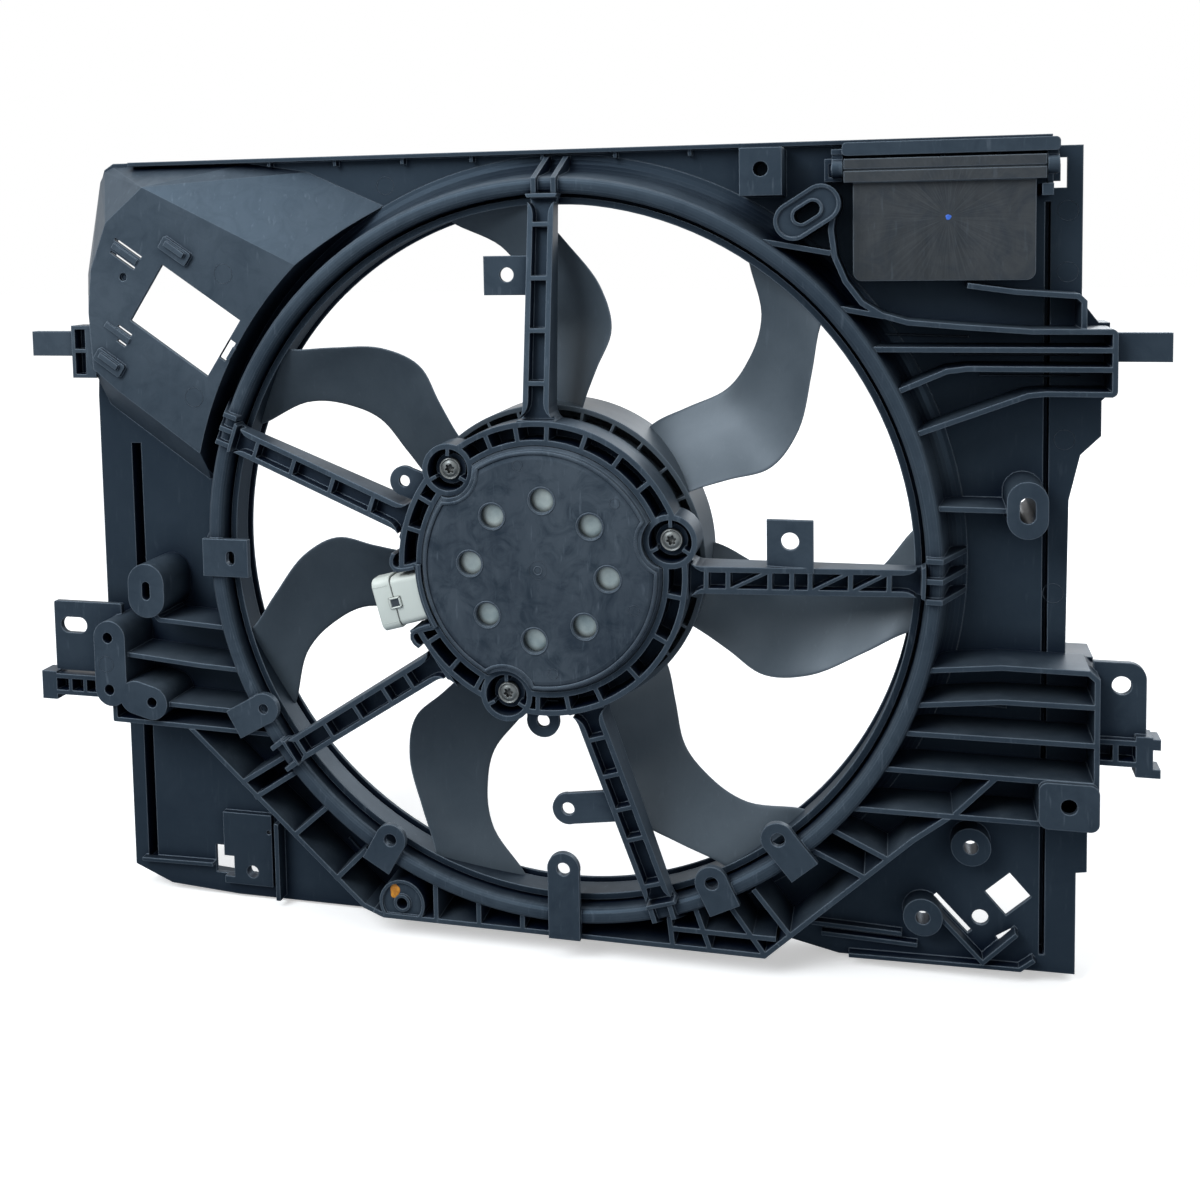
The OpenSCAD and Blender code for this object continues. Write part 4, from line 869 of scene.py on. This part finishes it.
class SpotTree(RepeatTree):
    """A thin round bead at every corner of the seed, facing the engine."""

    title = "round_marks"
    takes = (GEOMETRY, *floats(Radius=0.005, Wire=0.0002), MATERIAL)

    def grow(self) -> Socket:
        """Sweep one bead and copy it.

        Returns:
            The copies.
        """
        graph = self.graph
        path = graph.add("GeometryNodeCurvePrimitiveCircle", Resolution=40, Radius=self.take("Radius"))
        profile = graph.add("GeometryNodeCurvePrimitiveCircle", Resolution=6, Radius=self.take("Wire"))
        bead = self.swept(path, profile, capped=False)
        spots = {"Points": self.take("Geometry"), "Instance": bead, "Rotation": (math.pi / 2, 0.0, 0.0)}
        return graph.add("GeometryNodeInstanceOnPoints", **spots).outputs[0]


class CoilTree(RepeatTree):
    """Coil springs that stand radially round the fan axis."""

    title = "radial_springs"
    takes = (
        GEOMETRY,
        GroupSocket("Count", 4, "NodeSocketInt"),
        *floats(Start=0.785, Turns=5.0, Radius=0.002, Length=0.01, Wire=0.0003, Inner=0.03, Level=0.09),
        MATERIAL,
    )

    def grow(self) -> Socket:
        """Wind one spring, lay it outward and copy it.

        Returns:
            The copies.
        """
        graph = self.graph
        size = {"Rotations": self.take("Turns"), "Height": self.take("Length")}
        radii = {"Start_Radius": self.take("Radius"), "End_Radius": self.take("Radius")}
        path = graph.add("GeometryNodeCurveSpiral", Resolution=20, **size, **radii)
        profile = graph.add("GeometryNodeCurvePrimitiveCircle", Resolution=8, Radius=self.take("Wire"))
        wire = self.swept(path, profile)
        forward = graph.times(self.take("Level"), -1.0)
        spot = graph.add("ShaderNodeCombineXYZ", X=self.take("Inner"), Y=forward)
        move = {"Translation": spot.outputs[0], "Rotation": (0.0, math.pi / 2, 0.0)}
        return self.turned(graph.add("GeometryNodeTransform", Geometry=wire, **move).outputs[0])


class RibTree(RepeatTree):
    """A low rib along every edge of the seed."""

    title = "floor_ribs"
    takes = (GEOMETRY, *floats(Width=0.0014, Height=0.003), MATERIAL)

    def grow(self) -> Socket:
        """Sweep a rectangle along the seed's edges.

        Returns:
            The ribs.
        """
        path = self.graph.add("GeometryNodeMeshToCurve", Mesh=self.take("Geometry"))
        sides = {"Width": self.take("Height"), "Height": self.take("Width")}
        return self.swept(path, self.graph.add("GeometryNodeCurvePrimitiveQuadrilateral", **sides))


WHEEL = WheelTree()
SPOTS = SpotTree()
COILS = CoilTree()
RIBS = RibTree()


@dataclass
class FanBlades(Maker):
    """The seven smooth blades between hub and band."""

    body: Body = Body.ROTOR
    count: int = 7
    start: float = 34.5
    inner_r: float = 91.2
    outer_r: float = 212.2
    root_h: float = 52.0
    tip_h: float = 47.0
    fall_root: float = 30.0
    fall_tip: float = 13.0
    camber: float = 3.0
    thickness: float = 3.0
    edge_thickness: float = 0.55
    spans: int = 36
    chords: int = 16
    low_edge: tuple[float, ...] = (-8.0, -9.7, -11.2, -6.6, 1.2, 7.0)
    high_edge: tuple[float, ...] = (20.0, 14.2, 9.9, 11.0, 14.8, 22.5)

    def along(self, edge: Sequence[float], share: float) -> float:
        """Read an edge's angle between its given steps.

        Args:
            edge: angles at even steps from hub to band.
            share: how far out, from 0 to 1.

        Returns:
            The angle in degrees.
        """
        last = len(edge) - 1
        i = min(int(share * last), last - 1)
        f = share * last - i
        a, b, c, d = edge[max(i - 1, 0)], edge[i], edge[i + 1], edge[min(i + 2, last)]
        return b + 0.5 * f * (c - a + f * (2 * a - 5 * b + 4 * c - d + f * (3 * (b - c) + d - a)))

    def section(self, share: float) -> list[Spot]:
        """Return the loop of one blade section, round its two edges.

        Args:
            share: how far out, from 0 to 1.

        Returns:
            Points in metres, front side first.
        """
        radius = self.inner_r + (self.outer_r - self.inner_r) * share
        low, high = self.along(self.low_edge, share), self.along(self.high_edge, share)
        top = self.root_h + (self.tip_h - self.root_h) * share
        fall = self.fall_root + (self.fall_tip - self.fall_root) * share
        loop = []
        for side, steps in ((1, range(self.chords + 1)), (-1, range(self.chords - 1, 0, -1))):
            for step in steps:
                c = (1 - math.cos(math.pi * step / self.chords)) / 2
                angle = math.radians(low + (high - low) * c)
                body = self.edge_thickness + (1 - self.edge_thickness) * math.sin(math.pi * c)
                half = self.thickness / 2 * math.sqrt(max(0.0, 1 - (2 * c - 1) ** 6)) * body
                height = top - fall * c - self.camber * 4 * c * (1 - c) + side * half
                loop.append(place(*swung(radius, 0.0, angle), height))
        return loop

    def build(self) -> None:
        """Loft one blade and turn it round the hub."""
        blade = loft([self.section(i / self.spans) for i in range(self.spans + 1)])
        seed = self.shell("fan_blades_smooth", blade, 50.0)
        blades = WHEEL.run(seed, BLADE, Count=self.count, Start=math.radians(self.start))
        self.settle(blades, BLADE, "fan_blades")


@dataclass
class MotorScrews(Maker):
    """Three flange screws with six-lobed recesses."""

    circle_r: float = SCREW_CIRCLE_R
    start: float = SCREW_DEG
    count: int = 3
    seat_h: float = 78.0
    tip_h: float = 57.0
    shank_r: float = 2.9
    recess_r: float = 2.4
    lobe: float = 0.5
    segments: int = 48

    def ring(self, radius: float, height: float, lobe: float = 0.0) -> list[Spot]:
        """Return one loop round the screw.

        Args:
            radius: its mean radius.
            height: its level.
            lobe: depth of the six lobes.

        Returns:
            Points in metres.
        """
        loop = []
        for step in range(self.segments):
            angle = math.tau * step / self.segments
            r = radius + lobe * math.cos(6 * angle)
            loop.append(place(self.circle_r + r * math.cos(angle), r * math.sin(angle), height))
        return loop

    def build(self) -> None:
        """Revolve one screw and place all three."""
        s, tip, shank, recess, lobe = self.seat_h, self.tip_h, self.shank_r, self.recess_r, self.lobe
        profile = [
            (0.6, tip), (shank - 0.7, tip), (shank, tip + 1), (shank, s), (6.2, s), (6.4, s + 0.4),
            (6.4, s + 2.2), (6.2, s + 2.8), (5.8, s + 3.0), (5.4, s + 2.8), (5.1, s + 2.4), (4.6, s + 2.5),
            (3.9, s + 3.0), (3.5, s + 3.2), (recess + 0.3, s + 3.2, lobe), (recess, s + 2.9, lobe),
            (recess - 0.15, s + 0.4, lobe), (0.5, s - 0.2),
        ]
        seed = self.shell("flange_screws", loft([self.ring(*row) for row in profile]), 35.0)
        screws = WHEEL.run(seed, BRONZE_STEEL, Count=self.count, Start=math.radians(self.start))
        self.settle(screws, BRONZE_STEEL, "motor_screws")


@dataclass
class MotorConnector(Maker):
    """Rounded two-way connector with its collar, latch and seal."""

    angle: float = PLUG_DEG
    inner_u: float = 71.0
    length: float = 34.0
    middle_h: float = 75.4
    collar_u: float = 22.0
    corner_steps: int = 5

    def at(self, u: float, v: float, height: float) -> Spot:
        """Place a point given outward, across and in height."""
        return place(*swung(u, v, math.radians(self.angle)), height)

    def rounded(self, u: float, half_v: float, half_h: float, corner: float) -> list[Spot]:
        """Return a rectangle with round corners, square to the outward line.

        Args:
            u: distance from the fan axis.
            half_v: half its width.
            half_h: half its height.
            corner: radius of its corners.

        Returns:
            Points in metres.
        """
        loop = []
        for quarter, (sv, sh) in enumerate(((1, 1), (-1, 1), (-1, -1), (1, -1))):
            for step in range(self.corner_steps + 1):
                a = math.radians(90 * quarter + 90 * step / self.corner_steps)
                v = sv * (half_v - corner) + corner * math.cos(a)
                h = sh * (half_h - corner) + corner * math.sin(a)
                loop.append(self.at(u, v, self.middle_h + h))
        return loop

    def bar(self, name: str, u: Point, v: Point, h: Point, c: float = 0.4) -> Piece:
        """Make one small bar with chamfered long edges.

        Args:
            name: the piece's name.
            u: its start and end outward.
            v: its start and end sideways.
            h: its lowest and highest level.
            c: its chamfer.

        Returns:
            The object.
        """
        loops = []
        for u_at, shrink in ((u[0], c), (u[0] + c, 0.0), (u[1] - c, 0.0), (u[1], c)):
            v0, v1, h0, h1 = v[0] + shrink, v[1] - shrink, h[0], h[1] - shrink
            corners = ((v0, h0), (v1, h0), (v1, h1 - c), (v1 - c, h1), (v0 + c, h1), (v0, h1 - c))
            loops.append([self.at(u_at, *corner) for corner in corners])
        return self.shell(name, loft(loops), 30.0)

    def build(self) -> None:
        """Make housing, latch, ridges and seal."""
        e, seam, end = self.inner_u, self.inner_u + self.collar_u, self.inner_u + self.length
        outer = [
            (e, 13.6, 7.4, 3.6), (e + 0.8, 14.4, 8.0, 4.2), (seam - 8, 14.8, 8.2, 4.2),
            (seam - 0.5, 14.8, 8.2, 4.2), (seam - 0.3, 14.1, 7.5, 3.8), (seam + 0.3, 14.1, 7.5, 3.8),
            (seam + 0.4, 15.6, 8.4, 4.4), (seam + 0.9, 16.0, 8.6, 4.6), (end - 0.9, 16.0, 8.6, 4.6),
            (end, 15.2, 7.8, 4.2), (end, 14.2, 6.8, 3.4), (end - 0.6, 13.8, 6.4, 3.2),
            (e + 14.0, 13.6, 6.2, 3.0),
        ]
        housing = self.shell("connector_body", loft([self.rounded(*row) for row in outer]), 35.0)
        self.settle(housing, WHITE_PLASTIC, "connector_housing")
        top = self.middle_h + 8.3
        latch, key = (top - 0.5, top + 1.3), (top - 0.3, top + 0.45)
        bars = {
            "latch_side_a": ((seam - 4.2, seam + 3.2), (-3.3, -2.3), latch),
            "latch_side_b": ((seam - 4.2, seam + 3.2), (2.3, 3.3), latch),
            "latch_rear": ((seam - 4.2, seam - 3.1), (-3.3, 3.3), latch),
            "latch_front": ((seam + 2.1, seam + 3.2), (-3.3, 3.3), latch),
            "key_rib_a": ((seam + 1.5, e + 33.0), (-11.6, -10.6), key),
            "key_rib_b": ((seam + 1.5, e + 33.0), (10.6, 11.6), key),
        }
        for name, (u, v, h) in bars.items():
            self.settle(self.bar("connector_" + name, u, v, h), WHITE_PLASTIC)
        # A thin dark slab where the latch opening is: painted shade in place of a hole.
        opening = ((seam - 3.2, seam + 2.2), (-2.4, 2.4), (top - 0.4, top + 0.4), 0.1)
        self.settle(self.bar("connector_latch_opening", *opening), LATCH_OPENING_SHADE)
        foot, neck = (13.5, 6.1, 3.0), (12.2, 4.8, 2.4)
        rows = [(e + 15, *foot), (e + 15, *neck), (e + 16, 11.9, 4.5, 2.2), (e + 17, *neck), (e + 17, *foot)]
        seal = self.shell("connector_lip_seal", loft([self.rounded(*row) for row in rows], closed=True), 50.0)
        self.settle(seal, SEAL, "connector_seal")


@dataclass
class BrushSprings(Maker):
    """Wound springs behind the four brushes."""

    count: int = 4
    start: float = 45.0
    turns: float = 6.0
    radius_mm: float = 2.0
    length_mm: float = 8.4
    wire_mm: float = 0.35
    inner_mm: float = 28.5
    level_mm: float = 72.2

    def build(self) -> None:
        """Grow all four from one tree."""
        springs = COILS.run(
            bare("wound_springs", [(0.0, 0.0, 0.0)]), STEEL, Count=self.count, Start=math.radians(self.start),
            Turns=self.turns, Radius=self.radius_mm * MM, Length=self.length_mm * MM, Wire=self.wire_mm * MM,
            Inner=self.inner_mm * MM, Level=self.level_mm * MM,
        )
        self.settle(springs, STEEL, "brush_springs")


@dataclass
class SurfaceMarks(Maker):
    """Round tool marks, gate marks and floor ribs of the mouldings."""

    panel_h: float = 25.0
    pocket_h: float = 50.0
    pad_h: float = 58.0
    cover_h: float = 89.0
    rib_width: float = 1.3
    rib_height: float = 2.2
    rib_centre: float = 0.6

    def beads(self, name: str, finish: Finish, size: Point, height: float, *spots: Point) -> None:
        """Lay equal round beads.

        Args:
            name: the piece's name.
            finish: what they wear.
            size: their radius and half their width, in millimetres.
            height: the level of their face.
            *spots: their places on the drawing.
        """
        seed = bare(name, [place(*spot, height) for spot in spots])
        grown = SPOTS.run(seed, finish, Radius=size[0] * MM, Wire=size[1] * MM)
        grown.data.shade_smooth()
        self.settle(grown, finish)

    def build(self) -> None:
        """Lay the marks seen on panel, pocket, pads and cover."""
        panel = ((-112.4, 224.1), (292.4, 71.5), (293.2, 200.7), (293.3, 166.4), (287.0, -17.0))
        self.beads("panel_ejector_marks", SHROUD, (5.6, 0.16), self.panel_h, *panel)
        pocket = ((-212.5, 170.7), (-235.9, 92.4))
        self.beads("pocket_ejector_marks", POCKET, (6.2, 0.16), self.pocket_h, *pocket)
        self.beads("pad_ejector_mark", SHROUD, (5.2, 0.14), self.pad_h, (-302.0, -82.5))
        cover = ((-10.9, 60.8), (45.6, 40.4), (55.7, -20.3), (8.0, -59.5))
        self.beads("cover_ejector_marks", COVER_SKIN, (3.0, 0.14), self.cover_h, *cover)
        self.beads("cover_hole_lips", COVER_SKIN, (7.9, 0.4), self.cover_h, *arc(41.0, 86.0, 401.0, 7))
        self.beads("cover_gate_ring", COVER_SKIN, (2.4, 0.3), self.cover_h, (0.0, 0.5))
        self.beads("cover_gate_rim", COVER_SKIN, (5.2, 0.14), self.cover_h, (0.0, 0.5))
        self.floor_ribs()

    def floor_ribs(self) -> None:
        """Run the low ribs over the panel inside the boxes."""
        lines = (
            ((214, -84), (262, -85)), ((206, -104), (260, -105)), ((198, -127), (236, -128)),
            ((215, -62), (250, -61)), ((-222, -68), (-190, -67)), ((-218, -95), (-186, -95)),
            ((-230, -116), (-196, -117)), ((232, 120), (300, 120)), ((246, 108), (300, 108)),
            ((180, 132), (240, 130)), ((-190, -150), (-168, -176)), ((-150, -200), (-136, -214)),
            ((-60, -228), (20, -228)),
        )
        points = [place(x, z, self.panel_h + self.rib_centre) for line in lines for x, z in line]
        seed = bare("panel_floor_ribs", points, [(2 * i, 2 * i + 1) for i in range(len(lines))])
        ribs = RIBS.run(seed, SHROUD, Width=self.rib_width * MM, Height=self.rib_height * MM)
        self.settle(ribs, SHROUD)


@dataclass
class RingLip(Maker):
    """Thin lip inside the ring, behind the band, that stops air running back."""

    inner_r: float = 210.0
    outer_r: float = 216.6
    low_h: float = 27.2
    high_h: float = 29.0
    droop: float = 0.6
    segments: int = 180

    def build(self) -> None:
        """Revolve the lip's small section."""
        inner, outer, low, high = self.inner_r, self.outer_r, self.low_h, self.high_h
        section = ((inner, low), (outer, low), (outer, high), (inner, high - self.droop))
        loops = []
        for step in range(self.segments):
            a = math.tau * step / self.segments
            loops.append([place(*swung(r, 0.0, a), h) for r, h in section])
        self.settle(self.shell("ring_baffle_lip", loft(loops, closed=True)), SHROUD)


@dataclass
class GateFrame(Maker):
    """Rounded walls of the motor ring on both sides of the connector and over it."""

    angle: float = PLUG_DEG
    reach: float = 15.2
    bridge_r: float = 74.2
    bridge_low_h: float = 84.5
    low_h: float = 66.6
    top_h: float = 85.4
    wall: float = 2.3

    def build(self) -> None:
        """Run the bridge and the two cheeks."""
        top, low = self.top_h, self.bridge_low_h
        bridge = (
            (-2.1, low), (2.1, low), (2.1, top + 0.4), (1.7, top + 0.8), (-0.3, top + 0.8), (-0.7, top),
            (-1.7, top - 0.1), (-2.1, top - 0.5),
        )
        rim = ribbon(arc(self.bridge_r, self.angle - self.reach, self.angle + self.reach, 20), bridge)
        self.settle(self.shell("gate_bridge", rim), SHROUD)
        turn = math.radians(self.angle)
        half, foot = self.wall / 2, self.low_h
        shoulder = top - 0.3
        section = (
            (-half, foot), (half, foot), (half, shoulder), (half - 0.3, top), (0.3 - half, top),
            (-half, shoulder),
        )
        plan = (
            (74.6, 17.8), (78.5, 17.8), (82.0, 18.1), (85.2, 18.9), (87.4, 20.6), (88.0, 23.0), (87.0, 26.0),
            (84.9, 28.6),
        )
        for name, side in (("gate_cheek_a", 1), ("gate_cheek_b", -1)):
            path = [swung(u, side * v, turn) for u, v in plan]
            self.settle(self.shell(name, ribbon(path, section)), SHROUD)


@dataclass
class CoverRim(Maker):
    """Raised bead round the cover's face, led round the three screws."""

    radius: float = 68.4
    screw_circle_r: float = SCREW_CIRCLE_R
    screw_r: float = 19.0
    face_h: float = 87.6
    rise: float = 2.0
    start: float = SCREW_DEG
    steps: int = 36
    screw_steps: int = 12

    def path(self) -> list[Point]:
        """Follow arcs round the fan axis and round the screws in turn.

        Returns:
            The bead's closed line.
        """
        circle, radius, screw_r = self.screw_circle_r, self.radius, self.screw_r
        meet = math.acos((circle**2 + radius**2 - screw_r**2) / (2 * circle * radius))
        open_deg = math.degrees(meet)
        swing = math.pi - math.atan2(radius * math.sin(meet), radius * math.cos(meet) - circle)
        line = []
        for screw in range(3):
            middle = math.radians(self.start + 120 * screw)
            for i in range(1, self.screw_steps):
                a = middle + math.pi + swing * (1 - 2 * i / self.screw_steps)
                x = circle * math.cos(middle) + screw_r * math.cos(a)
                line.append((x, circle * math.sin(middle) + screw_r * math.sin(a)))
            low = self.start + 120 * screw + open_deg
            line += arc(radius, low, low + 120 - 2 * open_deg, self.steps)
        return line

    def build(self) -> None:
        """Run the bead along its line."""
        face, top = self.face_h, self.face_h + self.rise
        section = ((-1.1, face), (1.1, face), (1.0, top - 0.4), (0.5, top), (-0.5, top), (-1.0, top - 0.4))
        self.settle(self.shell("cover_rim", ribbon(self.path(), section, closed=True)), COVER_SKIN)


@dataclass
class PaintDab(Maker):
    """A dab of paint with an uneven outline."""

    name: str = "paint_dab"
    centre: Spot = (0.0, 0.0, 0.0)
    half: Point = (2.0, 3.0)
    tilt: float = 0.0
    height: float = 0.18
    paint: Finish = MarkerPaint("orange_paint")
    segments: int = 28

    def build(self) -> None:
        """Raise a low dome from an uneven loop."""
        tilt = math.radians(self.tilt)
        x0, z0, face = self.centre
        loops = []
        for share, rise in ((1.0, -0.05), (1.0, 0.3), (0.9, 0.75), (0.6, 1.0), (0.15, 1.0)):
            loop = []
            for step in range(self.segments):
                a = math.tau * step / self.segments
                swell = 1 + 0.07 * math.sin(3 * a + 0.7) + 0.05 * math.sin(5 * a)
                x, z = self.half[0] * share * swell * math.cos(a), self.half[1] * share * swell * math.sin(a)
                x, z = swung(x, z, tilt)
                loop.append(place(x0 + x, z0 + z, face + rise * self.height))
            loops.append(loop)
        self.settle(self.shell(self.name, loft(loops), 60.0), self.paint)


BLUE_PAINT = MarkerPaint("blue_paint", base=(0.05, 0.17, 0.7), thin=(0.03, 0.1, 0.45))
ASSEMBLIES: tuple[Maker, ...] = (
    FanBlades(),
    MotorScrews(),
    MotorConnector(),
    BrushSprings(),
    SurfaceMarks(),
    RingLip(),
    GateFrame(),
    CoverRim(),
    PaintDab(name="orange_check_mark", centre=(-107.6, -218.1, 53.5), half=(3.1, 4.6), tilt=-8.0),
    PaintDab(Body.FLAP, "blue_gate_dot", centre=(227.7, 198.0, 48.8), half=(1.5, 1.5), paint=BLUE_PAINT),
)


@dataclass(frozen=True)
class Lamp:
    """One soft square lamp that looks at the fan axis, in metres and watts."""

    name: str
    place: Spot
    side: float
    watts: float
    tint: Colour = (0.93, 0.97, 1.0)

    def build(self) -> None:
        """Hang the lamp."""
        data = bpy.data.lights.new(self.name, "AREA")
        data.size, data.energy, data.color = self.side, self.watts, self.tint
        lamp = linked(self.name, data)
        lamp.location = self.place
        lamp.rotation_euler = (-Vector(self.place)).to_track_quat("-Z", "Y").to_euler()


@dataclass
class Studio:
    """Camera, lamps, world and floor, round an object whose lowest point is known."""

    level: float
    eye_mm: Spot = (201.17, -794.52, 191.5)
    yaw: float = 12.963
    pitch: float = -4.192
    roll: float = -0.926
    focal_px: float = 1302.3
    centre_row_px: float = 330.0
    frame_px: float = 1200.0
    sensor_mm: float = 36.0
    world_strength: float = 0.17
    floor_reach: float = 9.0
    floor_gap: float = 0.002
    floor_tone: Colour = (0.3, 0.33, 0.37)
    floor_seen_tone: Colour = (0.9, 0.9, 0.9)
    lamps: tuple[Lamp, ...] = (
        Lamp("key", (-0.9, -1.3, 1.2), 1.0, 32.0),
        Lamp("fill", (1.5, -1.3, 0.3), 1.0, 5.0),
        Lamp("rear", (0.9, 1.5, 1.0), 1.2, 22.0),
        Lamp("top", (0.1, -0.3, 1.5), 1.4, 12.0),
    )

    def camera(self) -> None:
        """Place the camera at the photograph's viewing angle."""
        data = bpy.data.cameras.new("camera")
        data.sensor_width = self.sensor_mm
        data.lens = self.focal_px / self.frame_px * self.sensor_mm
        data.shift_y = (self.centre_row_px - self.frame_px / 2) / self.frame_px
        data.clip_start = 0.02
        camera = linked("camera", data)
        stand = Matrix.Translation(Vector(self.eye_mm) * MM)
        for angle, axis in ((self.yaw, "Z"), (90.0 + self.pitch, "X"), (self.roll, "Z")):
            stand = stand @ Matrix.Rotation(math.radians(angle), 4, axis)
        camera.matrix_world = stand
        bpy.context.scene.camera = camera

    def world(self) -> None:
        """Light everything softly and show white behind the object."""
        world = bpy.data.worlds.new("studio")
        world.use_nodes = True
        bpy.context.scene.world = world
        graph = Graph(world.node_tree)
        ray = graph.add("ShaderNodeLightPath").outputs
        seen = graph.math("MAXIMUM", ray["Is Camera Ray"], ray["Is Transmission Ray"])
        seen = graph.math("MAXIMUM", seen, ray["Is Glossy Ray"])
        back = world.node_tree.nodes["Background"]
        graph.feed(back, "Strength", graph.ramp(seen, 0.0, 1.0, self.world_strength, 1.0))
        graph.feed(back, "Color", rgba(WHITE))

    def floor(self) -> None:
        """Lay the pale floor just under the object."""
        far, level = self.floor_reach, self.level - self.floor_gap
        corners = [(-far, -far, level), (far, -far, level), (far, far, level), (-far, far, level)]
        floor = bare("floor", corners, (), [(0, 1, 2, 3)])
        paint = bpy.data.materials.new("floor")
        look = Look(paint)
        seen = look.add("ShaderNodeLightPath").outputs["Is Camera Ray"]
        look.show(Base_Color=look.mix(seen, self.floor_tone, self.floor_seen_tone))
        spot = look.add("ShaderNodeVectorMath", {"operation": "LENGTH"}, look.here())
        glow = look.times(seen, look.ramp(spot.outputs["Value"], 0.5, 2.6, 0.45, 1.0))
        look.show(Roughness=0.9, Specular_IOR_Level=0.0, Emission_Color=rgba(WHITE), Emission_Strength=glow)
        floor.data.materials.append(paint)
        floor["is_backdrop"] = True

    def build(self) -> None:
        """Make the whole studio."""
        bpy.context.scene.view_settings.view_transform = "Standard"
        self.camera()
        self.world()
        for lamp in self.lamps:
            lamp.build()
        self.floor()


def main() -> None:
    """Build the studio, dress the imported nodes and build every sub-assembly in order."""
    logging.basicConfig(level=logging.INFO, format="%(name)s: %(message)s")
    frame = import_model()
    cad_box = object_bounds()
    Studio(cad_box[0].z).build()
    for finish, nodes in NODE_FINISHES.items():
        for node in nodes.split():
            finish.wear(frame["nodes"][node])
            LOG.info("dressed %s in %s", node, finish.name)
    for assembly in ASSEMBLIES:
        assembly.build()


if __name__ == "__main__":
    main()
